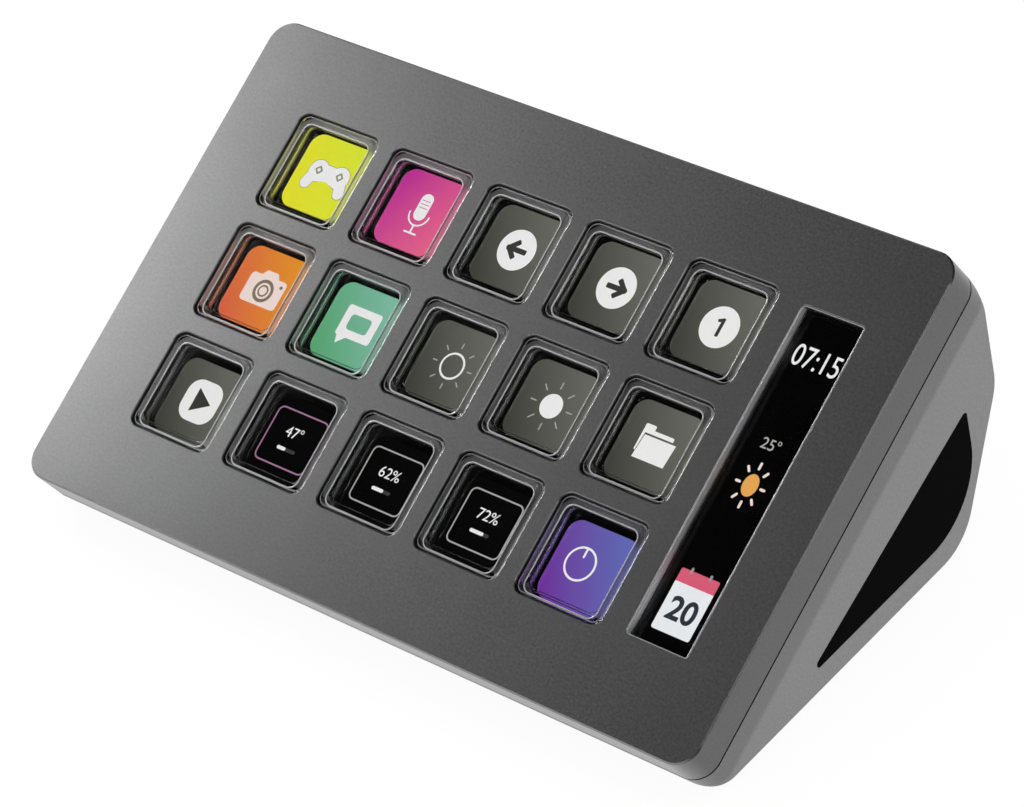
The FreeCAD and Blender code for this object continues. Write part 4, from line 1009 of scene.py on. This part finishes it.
class KEYPAD_OT_draw_strip(bpy.types.Operator):
    """Draw the clock, the weather and the calendar of the strip display"""
    bl_idname = "keypad.draw_strip"
    bl_label = "Draw Strip Pictures"

    def execute(self, context):
        pictures = context.scene.keypad_pictures
        inks = lit_inks(pictures.brightness)
        strip_x, strip_y = STRIP_MIDDLE.x / MM, STRIP_MIDDLE.y / MM

        clock = Picture("picture_clock", strip_x - 1.2, strip_y + 20.1, pictures.layer, inks)
        clock.words(2, "paper", "07:15", 0.05, 0.15, 3.5, stretch=0.8)
        clock.finish()

        weather = Picture("picture_weather", strip_x - 1.1, strip_y + 0.2, pictures.layer, inks)
        weather.words(2, "pale", "25°", -0.1, 6.4, 1.8)
        weather.disc(2, "amber", 0, 0, 1.3, 1.35)
        draw_rays(weather, "blush", 1.9, 2.5, 0.4, 1.4)
        weather.finish()

        calendar = Picture("picture_calendar", strip_x - 1.1, strip_y - 18.9, pictures.layer, inks)
        calendar.rounded(2, "page", 0, -1.2, 6.9, 7.6, 0.4)
        calendar.rounded(3, "red", 0, 3.5, 6.9, 2.2, 0.3)
        calendar.rounded(4, "page", 0, 2.0, 6.9, 1.0, 0.02)
        for x in (-1.7, 1.7):
            calendar.bar(4, "steel", (x, 4.3), (x, 4.9), 0.4)
        calendar.words(5, "figure", "20", 0.1, -1.4, 3.6, weight=0.12)
        calendar.finish()
        return {"FINISHED"}


class KEYPAD_OT_add_contacts(bpy.types.Operator):
    """Add the gold contacts on the tongue of the socket"""
    bl_idname = "keypad.add_contacts"
    bl_label = "Add Socket Contacts"

    def execute(self, context):
        low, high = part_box("usb_socket")
        middle = (low + high) / 2
        gold = simple(
            "gold_contacts", (0.85, 0.58, 0.2), 0.2, 0.2, 0.25, 0.1, 0.001, {"Metallic": 1.0})
        pads = []
        for side in (-1, 1):
            for step in range(PADS_IN_ROW):
                place = (
                    middle.x + (step - (PADS_IN_ROW - 1) / 2) * PAD_PITCH,
                    high.y - TONGUE_TIP - PAD_LENGTH / 2,
                    middle.z + side * (TONGUE_HALF + PAD_HEIGHT / 2))
                select_only()
                bpy.ops.mesh.primitive_cube_add(size=1, location=place)
                bpy.ops.object.mode_set(mode="EDIT")
                bpy.ops.transform.resize(
                    value=(PAD_WIDTH, PAD_LENGTH, PAD_HEIGHT), center_override=place)
                bpy.ops.mesh.bevel(offset=0.01 * MM, segments=1, affect="EDGES")
                bpy.ops.object.mode_set(mode="OBJECT")
                pads.append(bpy.context.object)
        piece = join_shapes(pads)
        move_piece(piece, "socket_contacts", gold, Matrix())
        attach(piece, "case")
        return {"FINISHED"}


# The studio

FLOOR_SIZE = 6.0
FLOOR_DROP = 0.05 * MM
FLOOR_GLOW = 1.03
FLOOR_GLOW_SHARE = 0.975
SHADOW_REACH = 0.03
SHADOW_TONE = (0.94, 0.94, 0.94, 1)
HORIZON_LIGHT = 0.65

# Name, place, aim, width and height. The studio's values give the powers.

LAMPS = (
    ("left_lamp", (-0.34, 0.02, 0.175), (-0.03, 0.0, 0.03), 0.24, 0.1),
    ("right_lamp", (0.46, -0.03, 0.40), (0.0, 0.0, 0.03), 0.06, 0.5),
    ("front_lamp", (0.1, -0.7, 0.2), (0.0, 0.0, 0.02), 0.5, 0.3),
)


def make_floor_material():
    """White to the camera and in reflections, with a soft shadow painted from an occlusion node, and open
    from below.
    """
    material = bpy.data.materials.new("studio_floor")
    material.use_nodes = True
    tree = material.node_tree
    shader = tree.nodes["Principled BSDF"]
    place = add_node(tree, "ShaderNodeTexCoord").outputs["Object"]
    paper = add_node(tree, "ShaderNodeTexNoise", {"Vector": place, "Scale": 60.0, "Detail": 2.0})
    pale = mix_colours(tree, paper.outputs["Fac"], (0.8, 0.8, 0.8, 1), (0.84, 0.84, 0.84, 1))
    set_inputs(tree, shader, {"Base Color": pale, "Roughness": 0.9, "Specular IOR Level": 0.0})
    rays = add_node(tree, "ShaderNodeLightPath").outputs
    seen = math_node(tree, "ADD", rays["Is Camera Ray"], rays["Is Glossy Ray"])
    seen = math_node(tree, "ADD", seen, rays["Is Transmission Ray"], clamp=True)
    # Painted shadow: the floor's glow is darkened near the object by an occlusion node, not by the lamps.
    nearness = add_node(tree, "ShaderNodeAmbientOcclusion", {"Distance": SHADOW_REACH}, samples=8)
    shade = mix_colours(tree, nearness.outputs["AO"], SHADOW_TONE, (1, 1, 1, 1))
    glow = add_node(tree, "ShaderNodeEmission", {"Color": shade, "Strength": FLOOR_GLOW})
    above = add_node(tree, "ShaderNodeMixShader", {
        0: math_node(tree, "MULTIPLY", seen, FLOOR_GLOW_SHARE), 1: shader.outputs[0],
        2: glow.outputs[0]})
    surface = add_node(tree, "ShaderNodeMixShader", {
        0: add_node(tree, "ShaderNodeNewGeometry").outputs["Backfacing"], 1: above.outputs[0],
        2: add_node(tree, "ShaderNodeBsdfTransparent").outputs[0]})
    set_inputs(tree, tree.nodes["Material Output"], {"Surface": surface.outputs[0]})
    return material


def make_studio_world(overhead):
    """White round the horizon and to the camera, dim overhead for light and reflections."""
    world = bpy.data.worlds.new("studio_world")
    world.use_nodes = True
    tree = world.node_tree
    up = split(tree, add_node(tree, "ShaderNodeTexCoord").outputs["Generated"])["Z"]
    level = rise(tree, up, 0.05, 0.3, HORIZON_LIGHT, overhead)
    seen = add_node(tree, "ShaderNodeLightPath").outputs["Is Camera Ray"]
    set_inputs(tree, tree.nodes["Background"], {
        "Color": (1, 1, 1, 1), "Strength": mix_values(tree, seen, level, 1.0)})
    bpy.context.scene.world = world


def add_soft_lamp(name, watts, place, aim, width, height):
    """A rectangular soft lamp that faces a point."""
    select_only()
    bpy.ops.object.light_add(type="AREA", location=place)
    lamp = bpy.context.object
    lamp.name = name
    lamp.data.shape = "RECTANGLE"
    lamp.data.size = width
    lamp.data.size_y = height
    lamp.data.energy = watts
    lamp.rotation_euler = (Vector(aim) - Vector(place)).to_track_quat("-Z", "Y").to_euler()


class KEYPAD_OT_set_studio(bpy.types.Operator):
    """Set the floor, the soft lamps and the camera"""
    bl_idname = "keypad.set_studio"
    bl_label = "Set Studio"

    def execute(self, context):
        studio = context.scene.keypad_studio
        select_only()
        bpy.ops.mesh.primitive_grid_add(
            x_subdivisions=8, y_subdivisions=8, size=FLOOR_SIZE, location=(0, 0, -FLOOR_DROP))
        floor = context.object
        floor.name = "studio_floor"
        floor.data.materials.append(make_floor_material())
        make_studio_world(studio.overhead)
        for name, *shape in LAMPS:
            add_soft_lamp(name, getattr(studio, name), *shape)
        bpy.ops.object.camera_add(location=studio.camera_place)
        camera = context.object
        camera.name = "photo_camera"
        gaze = (Vector(studio.camera_aim) - Vector(studio.camera_place)).to_track_quat("-Z", "Y")
        camera.matrix_world = (
            Matrix.Translation(studio.camera_place) @ gaze.to_matrix().to_4x4()
            @ Matrix.Rotation(studio.camera_roll, 4, "Z"))
        camera.data.sensor_width = 36
        camera.data.lens = studio.lens
        camera.data.clip_start = 0.01
        camera.data.dof.use_dof = False
        context.scene.camera = camera
        context.scene.view_settings.view_transform = "Standard"
        return {"FINISHED"}


class KEYPAD_PT_looks(bpy.types.Panel):
    """Buttons and sizes of the keypad's looks"""
    bl_idname = "KEYPAD_PT_looks"
    bl_label = "Display Keypad"
    bl_space_type = "VIEW_3D"
    bl_region_type = "UI"
    bl_category = "Keypad"

    def draw(self, context):
        layout = self.layout
        for operator in OPERATORS:
            layout.operator(operator.bl_idname)
        for group, label in (("keypad_finishes", "Finishes"), ("keypad_pictures", "Pictures"),
                             ("keypad_studio", "Studio")):
            values = getattr(context.scene, group)
            box = layout.box()
            box.label(text=label)
            for key in values.__annotations__:
                box.prop(values, key)


PROPERTY_GROUPS = {
    "keypad_finishes": KeypadFinishes, "keypad_pictures": KeypadPictures,
    "keypad_studio": KeypadStudio}
OPERATORS = (
    KEYPAD_OT_finish_shells, KEYPAD_OT_finish_keys, KEYPAD_OT_add_cap_edges,
    KEYPAD_OT_add_strip_edge, KEYPAD_OT_finish_inside, KEYPAD_OT_finish_feet, KEYPAD_OT_draw_tiles,
    KEYPAD_OT_draw_strip, KEYPAD_OT_add_contacts, KEYPAD_OT_set_studio)


def register():
    for name, group in PROPERTY_GROUPS.items():
        bpy.utils.register_class(group)
        setattr(bpy.types.Scene, name, PointerProperty(type=group))
    for operator in OPERATORS:
        bpy.utils.register_class(operator)
    bpy.utils.register_class(KEYPAD_PT_looks)


def unregister():
    bpy.utils.unregister_class(KEYPAD_PT_looks)
    for operator in reversed(OPERATORS):
        bpy.utils.unregister_class(operator)
    for name, group in reversed(PROPERTY_GROUPS.items()):
        delattr(bpy.types.Scene, name)
        bpy.utils.unregister_class(group)


def main():
    register()
    bpy.ops.keypad.finish_shells()
    bpy.ops.keypad.finish_keys()
    bpy.ops.keypad.add_cap_edges()
    bpy.ops.keypad.add_strip_edge()
    bpy.ops.keypad.finish_inside()
    bpy.ops.keypad.finish_feet()
    bpy.ops.keypad.draw_tiles()
    bpy.ops.keypad.draw_strip()
    bpy.ops.keypad.add_contacts()
    bpy.ops.keypad.set_studio()


if __name__ == "__main__":
    main()
